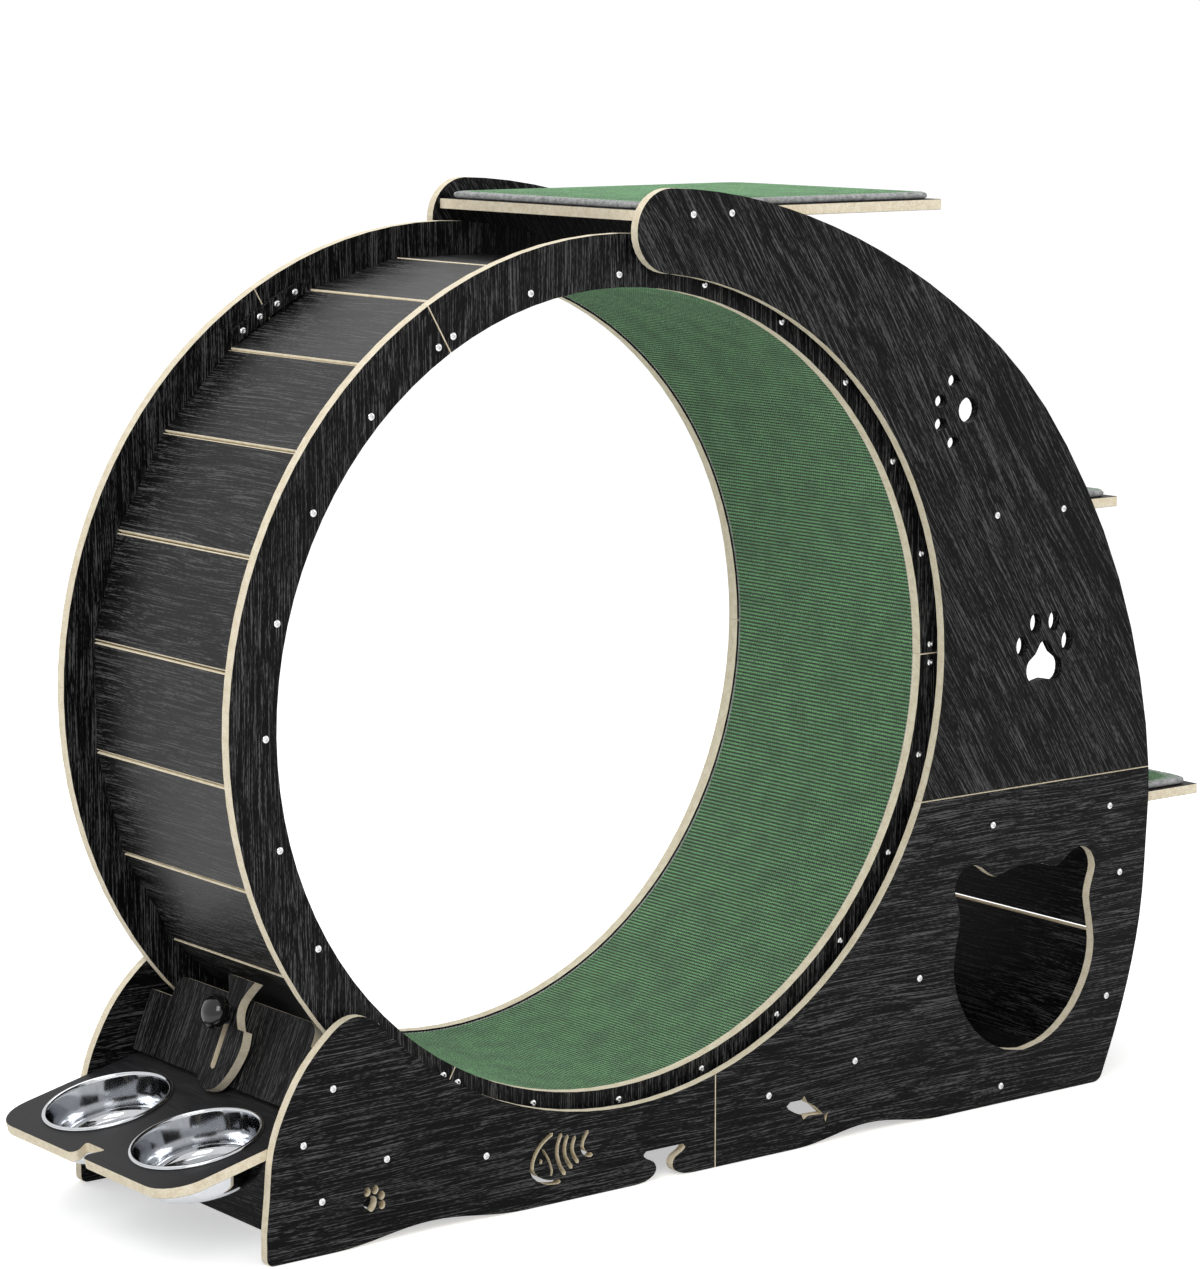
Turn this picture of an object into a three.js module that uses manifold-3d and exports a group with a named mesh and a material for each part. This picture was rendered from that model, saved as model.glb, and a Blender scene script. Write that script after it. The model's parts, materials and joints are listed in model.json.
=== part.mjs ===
// Cat exercise wheel: a running wheel of black boards on four rollers, in a stand with a sleeping house,
// a top platform, two rear steps and a tilted bowl station. Millimetres, +Z up, floor at z = 0.
// Inside the model, x runs from the wheel's centre towards the house and y across the wheel.
import * as THREE from "three";
import { mergeVertices } from "three/addons/utils/BufferGeometryUtils.js";
import Module from "manifold-3d";

const wasm = await Module();
wasm.setup();

// ---------- driving dimensions ----------
const FIT = 0.3; // gap left between boards that meet
const BOARD = 12; // thickness of every flat board of the stand
const ARC_STEP = 3.75; // degrees between points of the wheel's circles

// wheel
const RING_RADIUS = 500;
const RING_WIDTH = 57.9; // radial width of a side ring
const RING_THICKNESS = 13.8;
const WHEEL_WIDTH = 346.9; // over both rings
const FLOOR_GAP = 50.5; // floor to the lowest point of the wheel
const RING_SEGMENTS = 3;
const SLATS = 24;
const SLATS_PER_PIECE = 2;
const SLAT_THICKNESS = 9;
const SLAT_WEB = 0.8; // what joins two slats of one piece at their inner edge
const CARPET_THICKNESS = 3.7;
const RING_LIP = 5.6; // how far the rings stand in past the carpet
const RING_JOINER_WIDTH = 15; // curved plate behind each joint of a ring
const RING_JOINER_HALF_ANGLE = 6.3;
const RING_JOINER_THICKNESS = 6;
const RING_JOINER_CLEARANCE = 1; // from the slats' outer corners

// rollers
const ROLLER_ANGLE = 22.4; // from straight down
const ROLLER_TREAD = 19.1; // radius the ring runs on
const ROLLER_FLANGE_HEIGHT = 5;
const ROLLER_FLANGE = 2.4; // thickness
const ROLLER_SIDE_PLAY = 0.6; // between a ring and a flange
const ROLLER_HUB = 8;
const ROLLER_HUB_PLAY = 0.6; // hub to the side panel
const AXLE_RADIUS = 4;
const AXLE_PLAY = 0.35;

// side panels
const PANEL_GAP = 10.75; // ring to panel, across the wheel
const PANEL_THICKNESS = 12.2;
const ARC_MARGIN = 16.6; // how far the panel's opening stands outside the ring's inner edge
const ARCH_SEAM_HEIGHT = 381.5;
const BASE_SEAM_X = 120.2;
const NOSE_ANGLE = 83.9; // where the arch's round front end has its centre
const NOSE_WIDTH = 91.6;
const FOOT_REAR_X = 723.5;
const FOOT_REAR_ROUND = 14;
const FOOT_FRONT_X = -476.5;
const FOOT_FRONT_ROUND = 8;
// outer edge of the panels as [angle about the wheel's centre, width outside the opening]
const REAR_EDGE = [
  [NOSE_ANGLE, NOSE_WIDTH],
  [74.1, 99.2],
  [64, 110.6],
  [52.8, 130.5],
  [41.2, 160],
  [28.8, 201.3],
  [14.9, 246.6],
  [0.3, 303.4],
  [-12, 355.5],
  [-18, 376.5],
  [-24.2, 403.3],
  [-29.4, 422.4],
  [-34.7, 440.6],
];
const FRONT_EDGE = [
  [-132.7, 244],
  [-134.7, 213],
  [-137.4, 176.3],
  [-139.3, 137.9],
  [-140.9, 90.5],
  [-141.4, 43.9],
  [-140.9, 21],
  [-139.6, 7.5],
  [-137.6, 0],
  [-135.8, -5],
];
const BASE_WAVES = [
  { from: -392, to: -146, rise: 11.3 },
  { from: 240, to: 460, rise: 12 },
];
const NOTCH_X = 47.8;
const NOTCH_HALF = [
  [44, 0],
  [28, 1.2],
  [15.5, 6.6],
  [11.4, 14.3],
  [15.4, 22.2],
  [25.4, 27.4],
  [29.6, 31.8],
  [25.6, 35.7],
];

// cut-outs of the panels, x from the wheel's centre, z from the floor
const DOOR_X = 594.7;
const DOOR_HALF = [
  [0, 60],
  [30, 65],
  [57, 78],
  [82, 99],
  [100, 125],
  [111, 152],
  [114, 178],
  [110, 206],
  [105, 232],
  [109, 252],
  [114, 270],
  [107, 288],
  [90, 297],
  [71, 291],
  [50, 277.5],
  [25, 284],
  [0, 286],
];
const SIDE_PAW = {
  pad: { x: 491.5, z: 833, rx: 15.3, rz: 15.1 },
  toe: { rx: 9, rz: 7.6 },
  toes: [
    [468.5, 868.1],
    [448.6, 845.6],
    [448.6, 819.1],
    [468.5, 796.4],
  ],
};
const UPRIGHT_PAW_X = 618.7;
const UPRIGHT_PAW_HALF = [
  [0, 554],
  [7, 549.5],
  [14.4, 537.6],
  [25.2, 529.6],
  [28.7, 520.5],
  [27, 510.5],
  [20, 503.4],
  [10, 505.2],
  [0, 507],
];
const UPRIGHT_PAW_TOE = { rx: 9, rz: 12.4 };
const UPRIGHT_PAW_TOES = [
  [36.6, 549],
  [14.9, 574.6],
];
const SMALL_PAW_PAD = [
  [-356.6, 46.6],
  [-350, 51],
  [-343, 52.4],
  [-339.4, 48.4],
  [-340.6, 40.6],
  [-345.8, 35.6],
  [-350.6, 38.6],
  [-355, 42.4],
];
const SMALL_PAW_TOE = { rx: 4.3, rz: 4.9 };
const SMALL_PAW_TOES = [
  [-351.2, 58],
  [-341.1, 58.8],
  [-333, 51.3],
  [-332.6, 41],
];
const FISHBONE_SLOT = 5;
const FISHBONE = [
  [[-109, 78.5], [-121, 71.5], [-132, 58.5], [-136, 42.5], [-128, 31.5], [-113.5, 25], [-99, 23.4]],
  [[-96.7, 75.7], [-100.9, 66.1], [-102, 54.2], [-97.8, 40.6], [-91.6, 31.3]],
  [[-88, 72.2], [-91.6, 62], [-90.6, 49.8], [-82.4, 37]],
  [[-77.9, 69.5], [-81.1, 61.1], [-80.1, 51.4], [-73.8, 41.6]],
  [[-60.4, 72.8], [-66.3, 64.3], [-67.4, 55.8], [-62.2, 48], [-54.8, 45.8]],
];
const FISHBONE_GILL_SLOT = 3;
const FISHBONE_GILL = [[-121, 62.6], [-113.6, 51.1], [-109, 38], [-110.2, 33]];
const FISHBONE_EYE = { x: -123.8, z: 50.4, rx: 2.2, rz: 2.8 };
const FISH_BODY = [
  [225.4, 52.4],
  [231, 56.6],
  [246.1, 56.4],
  [251.8, 60.4],
  [256, 52.8],
  [267.6, 46],
  [280, 35.2],
  [257, 36.2],
  [250.6, 32.8],
  [247.6, 38.9],
  [238.2, 42.6],
  [228.8, 48.2],
];
const FISH_TAIL = [
  [292, 38],
  [286.6, 33.4],
  [284, 24.2],
  [281.4, 32],
];

// joining plates inside the panels' seams
const BASE_JOINER = { halfWidth: 30, bottom: 14, underArc: 8, thickness: 6 };
const ARCH_JOINER = { from: 520, to: 700, halfHeight: 18.5, thickness: 9 };

// boards across the stand; an angle and a width place one as the panels' edge is placed
const TIE_ANGLE = 54.6; // from the wheel's axis, down from level, to the middle of a board
const TIE_WIDTH = 106;
const TIE_HEIGHT = 118;
const PLATFORM_CLEARANCE = 12.6; // over the wheel
const PLATFORM_FROM = 18;
const PLATFORM_LENGTH = 438;
const UPPER_STEP_Z = 707.6; // middle of the board
const UPPER_STEP_CLEARANCE = 12.8; // from the wheel
const UPPER_STEP_LENGTH = 256;
const LOWER_STEP_UNDER_SEAM = 40.9; // from the arch panels' seam
const LOWER_STEP_CLEARANCE = 16.9;
const LOWER_STEP_LENGTH = 419;
const HOUSE_FLOOR_Z = 21.5;
const HOUSE_FRONT_X = 425.5;
const HOUSE_FRONT_CLEARANCE = 9; // from the wheel
const HOUSE_BACK_X = 721.2; // middle of the leaning back wall at its foot
const HOUSE_BACK_LEAN = 7;
const HOUSE_BACK_SEAM = 181.6; // height of the slit between the two boards
const HOUSE_BACK_SLIT = 4.8;

// pads on the platform and the steps
const PAD_THICKNESS = 7.8;
const PAD_CROWN = 1.4;
const PAD_INSET = 4;
const PAD_SIDE_INSET = 5;
const PAD_CORNER = 20;
const PAD_BULGE = 1.8; // how far the sides stand out past the bottom edge
const PAD_SHOULDER = 5.5; // how far in the top starts to be flat
const PAD_SIDE = [0.35, 0.65, 0.92]; // shares of the thickness where the side bulges, draws in and turns over
const PAD_CROWN_EDGE = 0.8; // share of the crown that is reached well inside the shoulder

// bowl station
const PLATE_TILT = 13.05;
const PLATE_ANGLE = -135.4; // place of the plate's screws, as the panels' edge is placed
const PLATE_WIDTH = 147.2;
const PLATE_FRONT_MARGIN = 21.5; // bowl rim to the front edge
const PLATE_REAR = 46; // screws to the rear edge
const PLATE_CORNER = 44;
const PLATE_NOTCH_MOUTH = 4.1; // half width where the flanks' lines meet the front edge
const PLATE_NOTCH_FLOOR = 20.3; // half width at the bottom
const PLATE_NOTCH_DEPTH = 25;
const PLATE_NOTCH_ROUND = 7.5; // lips
const PLATE_NOTCH_CORNER = 2.5; // corners of the bottom
const BOWL_FORWARD = 64.5; // screws to the bowls' centres, along the plate
const BOWL_SPACING = 182;
const BOWL_RADIUS = 67.8; // outside, under the rim
const BOWL_HOLE_PLAY = 1.2;
const BOWL_RIM_WIDTH = 5.2;
const BOWL_RIM_HEIGHT = 3;
const BOWL_DEPTH = 50;
const BOWL_TAPER = 3.8;
const BOWL_CORNER = 12;
const BOWL_WALL = 1.4;
const BEAM_BACK = 22.3; // screws to the middle of the beam under the plate
const BEAM_UNDER_PLATE = 7.5;
const BEAM_OVER_FLOOR = 2;

// leaning front board with its lock lever
const LEAN = 22.6;
const LEAN_FOOT = 35; // screws to the rear edge of the board's foot, along the plate
const LEAN_HEIGHT = 69.8;
const TAB_HEIGHT = 94.5;
const TAB_RING_GAP = 20.6; // tab's end to the ring beside it
const TAB_CORNER = 14;
const LEVER_THICKNESS = 12;
const LEVER_GAP = 3.4;
const LEVER_HALF = [
  [0, -11.4],
  [14.5, -6.4],
  [26, 5],
  [35.5, 24],
  [39.5, 45],
  [35.5, 61.5],
];
const LEVER_NECK_LOW = [23.5, 61.5];
const LEVER_NECK = [11.5, 85];
const LEVER_TAIL = [26.5, 114.5];
const SLOT_LOW = 12.6;
const STUD_HEIGHT = 72; // up the board, where the knob's stud goes in
const STUD_RADIUS = 4;
const STUD_SLOT_PLAY = 0.5;
const SLOT_END_PLAY = 1.2;
const STUD_HOLE_PLAY = 0.35;
const STUD_REACH = 9.6; // into the leaning board
const KNOB_RADIUS = 19;
const KNOB_BACK_RADIUS = 16.7;
const KNOB_DEPTH = 21;
const KNOB_WIDEST = 7.4; // from the knob's back to its widest ring
const KNOB_NECK_RADIUS = 9;
const KNOB_NECK = 9;
const KNOB_GAP = 2.4; // the knob is undone by two turns, so that the lever can slide

// ---------- values that follow ----------
const AXIS_HEIGHT = FLOOR_GAP + RING_RADIUS;
const RING_INNER = RING_RADIUS - RING_WIDTH;
const RING_FACE = WHEEL_WIDTH / 2 - RING_THICKNESS; // inner face of a ring
const ARC_RADIUS = RING_INNER + ARC_MARGIN;
const PANEL_INNER = WHEEL_WIDTH / 2 + PANEL_GAP;
const CROSS_HALF = PANEL_INNER - FIT; // half length of the boards between the panels
const SLAT_STEP = 360 / SLATS;
const SLAT_INNER = RING_INNER + RING_LIP + CARPET_THICKNESS + FIT;
const SLAT_FACE = SLAT_INNER + SLAT_THICKNESS;
const SLAT_CORNER = Math.hypot(SLAT_FACE, SLAT_INNER * Math.tan(rad(SLAT_STEP / 2)));
const JOINT_ANGLE = 360 / RING_SEGMENTS;
const BOWL_HOLE_RADIUS = BOWL_RADIUS + BOWL_HOLE_PLAY;
const BOWL_RIM_RADIUS = BOWL_RADIUS + BOWL_RIM_WIDTH;
const BOWL_FLOOR_RADIUS = BOWL_RADIUS - BOWL_TAPER - BOWL_CORNER;
const PLATE_FRONT = BOWL_FORWARD + BOWL_RIM_RADIUS + PLATE_FRONT_MARGIN; // from the screws
const PLATE_SCREW = polar(PLATE_ANGLE, ARC_RADIUS + PLATE_WIDTH);
const LOWER_STEP_Z = ARCH_SEAM_HEIGHT - LOWER_STEP_UNDER_SEAM;
const LOWER_STEP_FROM = besideWheel(LOWER_STEP_Z + BOARD / 2, LOWER_STEP_CLEARANCE);

const blackBoard = new THREE.MeshStandardMaterial({ color: 0x232323, roughness: 0.62, metalness: 0 });
const turf = new THREE.MeshStandardMaterial({ color: 0x2f6b3d, roughness: 0.95, metalness: 0 });
const felt = new THREE.MeshStandardMaterial({ color: 0x8c8f8d, roughness: 0.95, metalness: 0 });
const steel = new THREE.MeshStandardMaterial({ color: 0xc9ccce, roughness: 0.15, metalness: 1 });
const blackPlastic = new THREE.MeshStandardMaterial({ color: 0x0c0c0c, roughness: 0.15, metalness: 0 });
const wheelRubber = new THREE.MeshStandardMaterial({ color: 0x2b2b2d, roughness: 0.6, metalness: 0 });
const rodSteel = new THREE.MeshStandardMaterial({ color: 0xa9adb0, roughness: 0.3, metalness: 1 });

// ---------- helpers ----------
function rad(degrees) {
  return (degrees * Math.PI) / 180;
}

function point(x, z) {
  return new THREE.Vector2(x, z);
}

// A point seen from the wheel's centre, with z counted from the floor.
function polar(angle, radius) {
  return point(radius * Math.cos(rad(angle)), AXIS_HEIGHT + radius * Math.sin(rad(angle)));
}

// How far from the axis something at this height clears the wheel by this much.
function besideWheel(z, clearance) {
  return Math.sqrt((RING_RADIUS + clearance) ** 2 - (z - AXIS_HEIGHT) ** 2);
}

function arc(cx, cz, radius, from, to, step = ARC_STEP) {
  const count = Math.max(2, Math.round(Math.abs(to - from) / step));
  return Array.from({ length: count + 1 }, (_, i) => {
    const a = rad(from + ((to - from) * i) / count);
    return point(cx + radius * Math.cos(a), cz + radius * Math.sin(a));
  });
}

function ellipse({ x, z, rx, rz }, count = 16) {
  return Array.from({ length: count }, (_, i) => {
    const a = (2 * Math.PI * i) / count;
    return point(x + rx * Math.cos(a), z + rz * Math.sin(a));
  });
}

function spline(pairs, perSpan = 3) {
  const curve = new THREE.SplineCurve(pairs.map(([x, z]) => point(x, z)));
  return curve.getPoints((pairs.length - 1) * perSpan);
}

// A closed outline from its right half, which runs from the centre line to the centre line or stops short of it.
function mirrored(halfPoints, centre = 0) {
  const right = halfPoints.map((p) => point(centre + p.x, p.y));
  const left = halfPoints
    .filter((p) => p.x > 1e-6)
    .map((p) => point(centre - p.x, p.y))
    .reverse();
  return [...right, ...left];
}

// Rounds the corner b between the points a and c.
function corner(a, b, c, radius, steps = 4) {
  const toA = a.clone().sub(b).normalize();
  const toC = c.clone().sub(b).normalize();
  const half = Math.acos(THREE.MathUtils.clamp(toA.dot(toC), -1, 1)) / 2;
  const centre = b.clone().add(toA.clone().add(toC).normalize().multiplyScalar(radius / Math.sin(half)));
  const start = b.clone().add(toA.multiplyScalar(radius / Math.tan(half))).sub(centre).angle();
  const end = b.clone().add(toC.multiplyScalar(radius / Math.tan(half))).sub(centre).angle();
  const turn = Math.atan2(Math.sin(end - start), Math.cos(end - start));
  return Array.from({ length: steps + 1 }, (_, i) => {
    const angle = start + (turn * i) / steps;
    return point(centre.x + radius * Math.cos(angle), centre.y + radius * Math.sin(angle));
  });
}

function roundedRectangle(x0, x1, z0, z1, radius) {
  const corners = [point(x0, z0), point(x1, z0), point(x1, z1), point(x0, z1)];
  return corners.flatMap((p, i) => corner(corners.at(i - 1), p, corners[(i + 1) % 4], radius));
}

// The outline of a slot of even width with round ends, along a path.
function slot(path, width) {
  const line = spline(path, 2);
  const left = [];
  const right = [];
  line.forEach((p, i) => {
    const along = line[Math.min(i + 1, line.length - 1)].clone().sub(line[Math.max(i - 1, 0)]).normalize();
    const across = point(-along.y, along.x).multiplyScalar(width / 2);
    left.push(p.clone().add(across));
    right.push(p.clone().sub(across));
  });
  const tip = (centre, side) => side.clone().sub(centre).rotateAround(point(0, 0), -Math.PI / 2).add(centre);
  return [...left, tip(line.at(-1), left.at(-1)), ...right.reverse(), tip(line[0], right.at(-1))];
}

// A board whose outline lies in x and z and whose thickness runs along +Y from y = 0.
function uprightBoard(outline, thickness, holes = []) {
  const shape = new THREE.Shape(outline);
  shape.holes = holes.map((hole) => new THREE.Path(hole));
  const geometry = new THREE.ExtrudeGeometry(shape, { depth: thickness, bevelEnabled: false });
  return geometry.rotateX(Math.PI / 2).translate(0, thickness, 0);
}

// A board whose outline lies in x and y and whose thickness runs along +Z from z = 0.
function flatBoard(outline, thickness, holes = []) {
  const shape = new THREE.Shape(outline);
  shape.holes = holes.map((hole) => new THREE.Path(hole));
  return new THREE.ExtrudeGeometry(shape, { depth: thickness, bevelEnabled: false });
}

// A soft pad on z = 0: rounded rectangles that widen, draw in over the shoulder and rise to a crown.
function cushion(halfX, halfY) {
  const levels = [
    [PAD_BULGE, 0],
    [0, PAD_THICKNESS * PAD_SIDE[0]],
    [0, PAD_THICKNESS * PAD_SIDE[1]],
    [PAD_BULGE, PAD_THICKNESS * PAD_SIDE[2]],
    [PAD_SHOULDER, PAD_THICKNESS],
    [PAD_CORNER * 2, PAD_THICKNESS + PAD_CROWN * PAD_CROWN_EDGE],
  ];
  const rings = levels.map(([inset, z]) => {
    const radius = Math.max(PAD_CORNER - inset, 2);
    const outline = roundedRectangle(inset - halfX, halfX - inset, inset - halfY, halfY - inset, radius);
    return outline.map((p) => [p.x, p.y, z]);
  });
  const count = rings[0].length;
  const positions = [...rings.flat(), [0, 0, 0], [0, 0, PAD_THICKNESS + PAD_CROWN]].flat();
  const bottom = rings.length * count;
  const faces = [];
  for (let i = 0; i < count; i++) {
    const next = (i + 1) % count;
    const last = (rings.length - 1) * count;
    faces.push(bottom, next, i, bottom + 1, last + i, last + next);
    for (let k = 0; k < rings.length - 1; k++) {
      const low = k * count;
      const high = low + count;
      faces.push(low + i, low + next, high + next, low + i, high + next, high + i);
    }
  }
  const geometry = new THREE.BufferGeometry();
  geometry.setAttribute("position", new THREE.Float32BufferAttribute(positions, 3));
  geometry.setIndex(faces);
  geometry.computeVertexNormals();
  return geometry;
}

// A straight board across the stand, centred on the origin.
function crossBoard(length, height) {
  return new THREE.BoxGeometry(length, 2 * CROSS_HALF, height);
}

function toSolid(geometry) {
  const bare = geometry.clone();
  bare.deleteAttribute("normal");
  bare.deleteAttribute("uv");
  const merged = mergeVertices(bare, 1e-4);
  return new wasm.Manifold(
    new wasm.Mesh({
      numProp: 3,
      vertProperties: merged.attributes.position.array,
      triVerts: new Uint32Array(merged.index.array),
    }),
  );
}

function toGeometry(solid) {
  const mesh = solid.getMesh();
  const geometry = new THREE.BufferGeometry();
  geometry.setAttribute("position", new THREE.BufferAttribute(mesh.vertProperties.slice(), 3));
  geometry.setIndex(new THREE.BufferAttribute(mesh.triVerts.slice(), 1));
  const flat = geometry.toNonIndexed();
  flat.computeVertexNormals();
  return flat;
}

function cut(geometry, ...cutters) {
  return toGeometry(cutters.reduce((left, cutter) => left.subtract(toSolid(cutter)), toSolid(geometry)));
}

function join(geometry, ...others) {
  return toGeometry(others.reduce((sum, other) => sum.add(toSolid(other)), toSolid(geometry)));
}

function keep(geometry, region) {
  return toGeometry(toSolid(geometry).intersect(toSolid(region)));
}

function lathe(profile, segments) {
  return new THREE.LatheGeometry(profile.map(([r, h]) => point(r, h)), segments).rotateX(Math.PI / 2);
}

function add(group, name, geometry, material, x = 0, y = 0, z = 0) {
  const mesh = new THREE.Mesh(geometry, material);
  mesh.name = name;
  mesh.position.set(x, y, z);
  group.add(mesh);
  return mesh;
}

function box(x0, x1, y0, y1, z0, z1) {
  return new THREE.BoxGeometry(x1 - x0, y1 - y0, z1 - z0).translate(
    (x0 + x1) / 2,
    (y0 + y1) / 2,
    (z0 + z1) / 2,
  );
}

// ---------- running wheel, in its own group with the axis at the origin ----------
function ringOutline(inner, outer, from, to) {
  const shift = (radius) => THREE.MathUtils.radToDeg(FIT / 2 / radius);
  return [
    ...arc(0, 0, outer, from + shift(outer), to - shift(outer)),
    ...arc(0, 0, inner, to - shift(inner), from + shift(inner)),
  ];
}

function slatPiece(firstAngle) {
  const half = rad(SLAT_STEP / 2);
  const innerHalf = SLAT_INNER * Math.tan(half) - FIT / 2;
  const at = (radial, across, angle) => point(radial, across).rotateAround(point(0, 0), rad(angle));
  const angles = Array.from({ length: SLATS_PER_PIECE }, (_, i) => firstAngle + i * SLAT_STEP);
  const web = (angle) => at((SLAT_INNER + SLAT_WEB) / Math.cos(half), 0, angle + SLAT_STEP / 2);
  const meeting = (angle) => at(SLAT_INNER / Math.cos(half), 0, angle + SLAT_STEP / 2);
  const outer = angles.flatMap((angle, i) => [
    at(SLAT_FACE, -innerHalf, angle),
    at(SLAT_FACE, innerHalf, angle),
    ...(i < angles.length - 1 ? [web(angle)] : []),
  ]);
  const inner = angles.slice(0, -1).map(meeting).reverse();
  return [
    ...outer,
    at(SLAT_INNER, innerHalf, angles.at(-1)),
    ...inner,
    at(SLAT_INNER, -innerHalf, angles[0]),
  ];
}

function buildWheel() {
  const wheel = new THREE.Group();
  wheel.position.z = AXIS_HEIGHT;
  for (const [side, faceY] of [
    ["near", -WHEEL_WIDTH / 2],
    ["far", RING_FACE],
  ]) {
    for (let i = 0; i < RING_SEGMENTS; i++) {
      const outline = ringOutline(RING_INNER, RING_RADIUS, i * JOINT_ANGLE, (i + 1) * JOINT_ANGLE);
      add(wheel, `${side}_ring_${i + 1}`, uprightBoard(outline, RING_THICKNESS), blackBoard, 0, faceY);
    }
    const joinerInner = SLAT_CORNER + RING_JOINER_CLEARANCE;
    const joinerY = side === "near" ? -RING_FACE + FIT : RING_FACE - FIT - RING_JOINER_THICKNESS;
    for (let i = 0; i < RING_SEGMENTS; i++) {
      const middle = i * JOINT_ANGLE;
      const outline = ringOutline(
        joinerInner,
        joinerInner + RING_JOINER_WIDTH,
        middle - RING_JOINER_HALF_ANGLE,
        middle + RING_JOINER_HALF_ANGLE,
      );
      const plate = uprightBoard(outline, RING_JOINER_THICKNESS);
      add(wheel, `${side}_ring_joiner_${i + 1}`, plate, blackBoard, 0, joinerY);
    }
  }
  const slatLength = 2 * (RING_FACE - FIT);
  for (let i = 0; i < SLATS / SLATS_PER_PIECE; i++) {
    const outline = slatPiece(i * SLATS_PER_PIECE * SLAT_STEP);
    const name = `slats_${String(i + 1).padStart(2, "0")}`;
    add(wheel, name, uprightBoard(outline, slatLength), blackBoard, 0, -slatLength / 2);
  }
  const outside = (SLAT_INNER - FIT) / Math.cos(rad(SLAT_STEP / 2));
  const inside = (SLAT_INNER - FIT - CARPET_THICKNESS) / Math.cos(rad(SLAT_STEP / 2));
  const turns = (radius) => arc(0, 0, radius, SLAT_STEP / 2, 360 - SLAT_STEP / 2, SLAT_STEP);
  const carpet = uprightBoard(turns(outside), slatLength, [turns(inside)]);
  add(wheel, "running_carpet", carpet, turf, 0, -slatLength / 2);
  return wheel;
}

// ---------- rollers under the rings, on two axles between the panels ----------
function rollerProfile() {
  const bore = AXLE_RADIUS + AXLE_PLAY;
  const groove = RING_THICKNESS / 2 + ROLLER_SIDE_PLAY;
  const flange = ROLLER_TREAD + ROLLER_FLANGE_HEIGHT;
  const outerHub = PANEL_INNER - ROLLER_HUB_PLAY - (WHEEL_WIDTH - RING_THICKNESS) / 2;
  return [
    [bore, -groove - ROLLER_FLANGE],
    [flange, -groove - ROLLER_FLANGE],
    [flange, -groove],
    [ROLLER_TREAD, -groove],
    [ROLLER_TREAD, groove],
    [flange, groove],
    [flange, groove + ROLLER_FLANGE],
    [ROLLER_HUB, groove + ROLLER_FLANGE],
    [ROLLER_HUB, outerHub],
    [bore, outerHub],
    [bore, -groove - ROLLER_FLANGE],
  ];
}

function buildRollers() {
  const rollers = new THREE.Group();
  const reach = RING_RADIUS + FIT + ROLLER_TREAD;
  const ringMiddle = (WHEEL_WIDTH - RING_THICKNESS) / 2;
  for (const [end, angle] of [
    ["front", -90 - ROLLER_ANGLE],
    ["rear", -90 + ROLLER_ANGLE],
  ]) {
    const centre = polar(angle, reach);
    const axle = new THREE.CylinderGeometry(AXLE_RADIUS, AXLE_RADIUS, 2 * CROSS_HALF, 16);
    add(rollers, `${end}_roller_axle`, axle, rodSteel, centre.x, 0, centre.y);
    const near = add(rollers, `${end}_near_roller`, lathe(rollerProfile(), 24), wheelRubber);
    near.rotation.x = Math.PI / 2;
    near.position.set(centre.x, -ringMiddle, centre.y);
    const far = add(rollers, `${end}_far_roller`, lathe(rollerProfile(), 24), wheelRubber);
    far.rotation.x = -Math.PI / 2;
    far.position.set(centre.x, ringMiddle, centre.y);
  }
  return rollers;
}

// ---------- side panels ----------
function panelBlank() {
  const edge = (pairs) => spline(pairs).map((p) => polar(p.x, ARC_RADIUS + p.y));
  const rear = edge(REAR_EDGE);
  const front = edge(FRONT_EDGE);
  const rearFoot = point(FOOT_REAR_X, 0);
  const frontFoot = point(FOOT_FRONT_X, 0);
  const outline = [
    point(0, AXIS_HEIGHT),
    ...rear,
    ...corner(rear.at(-1), rearFoot, frontFoot, FOOT_REAR_ROUND),
    ...corner(rearFoot, frontFoot, front[0], FOOT_FRONT_ROUND),
    ...front,
  ];
  const nose = polar(NOSE_ANGLE, ARC_RADIUS + NOSE_WIDTH / 2);
  return join(
    uprightBoard(outline, PANEL_THICKNESS),
    uprightBoard(arc(nose.x, nose.y, NOSE_WIDTH / 2, 0, 350, 10), PANEL_THICKNESS),
  );
}

function through(outline) {
  return uprightBoard(outline, 3 * PANEL_THICKNESS).translate(0, -PANEL_THICKNESS, 0);
}

function baseWave({ from, to, rise }) {
  const steps = 16;
  const points = Array.from({ length: steps + 1 }, (_, i) => {
    const x = from + ((to - from) * i) / steps;
    return point(x, (rise / 2) * (1 - Math.cos((2 * Math.PI * i) / steps)));
  });
  return through([point(from, -BOARD), ...points, point(to, -BOARD)].reverse());
}

function baseNotch() {
  const below = point(NOTCH_HALF[0][0], -1);
  return through(mirrored([below, ...spline(NOTCH_HALF, 2)], NOTCH_X));
}

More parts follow.
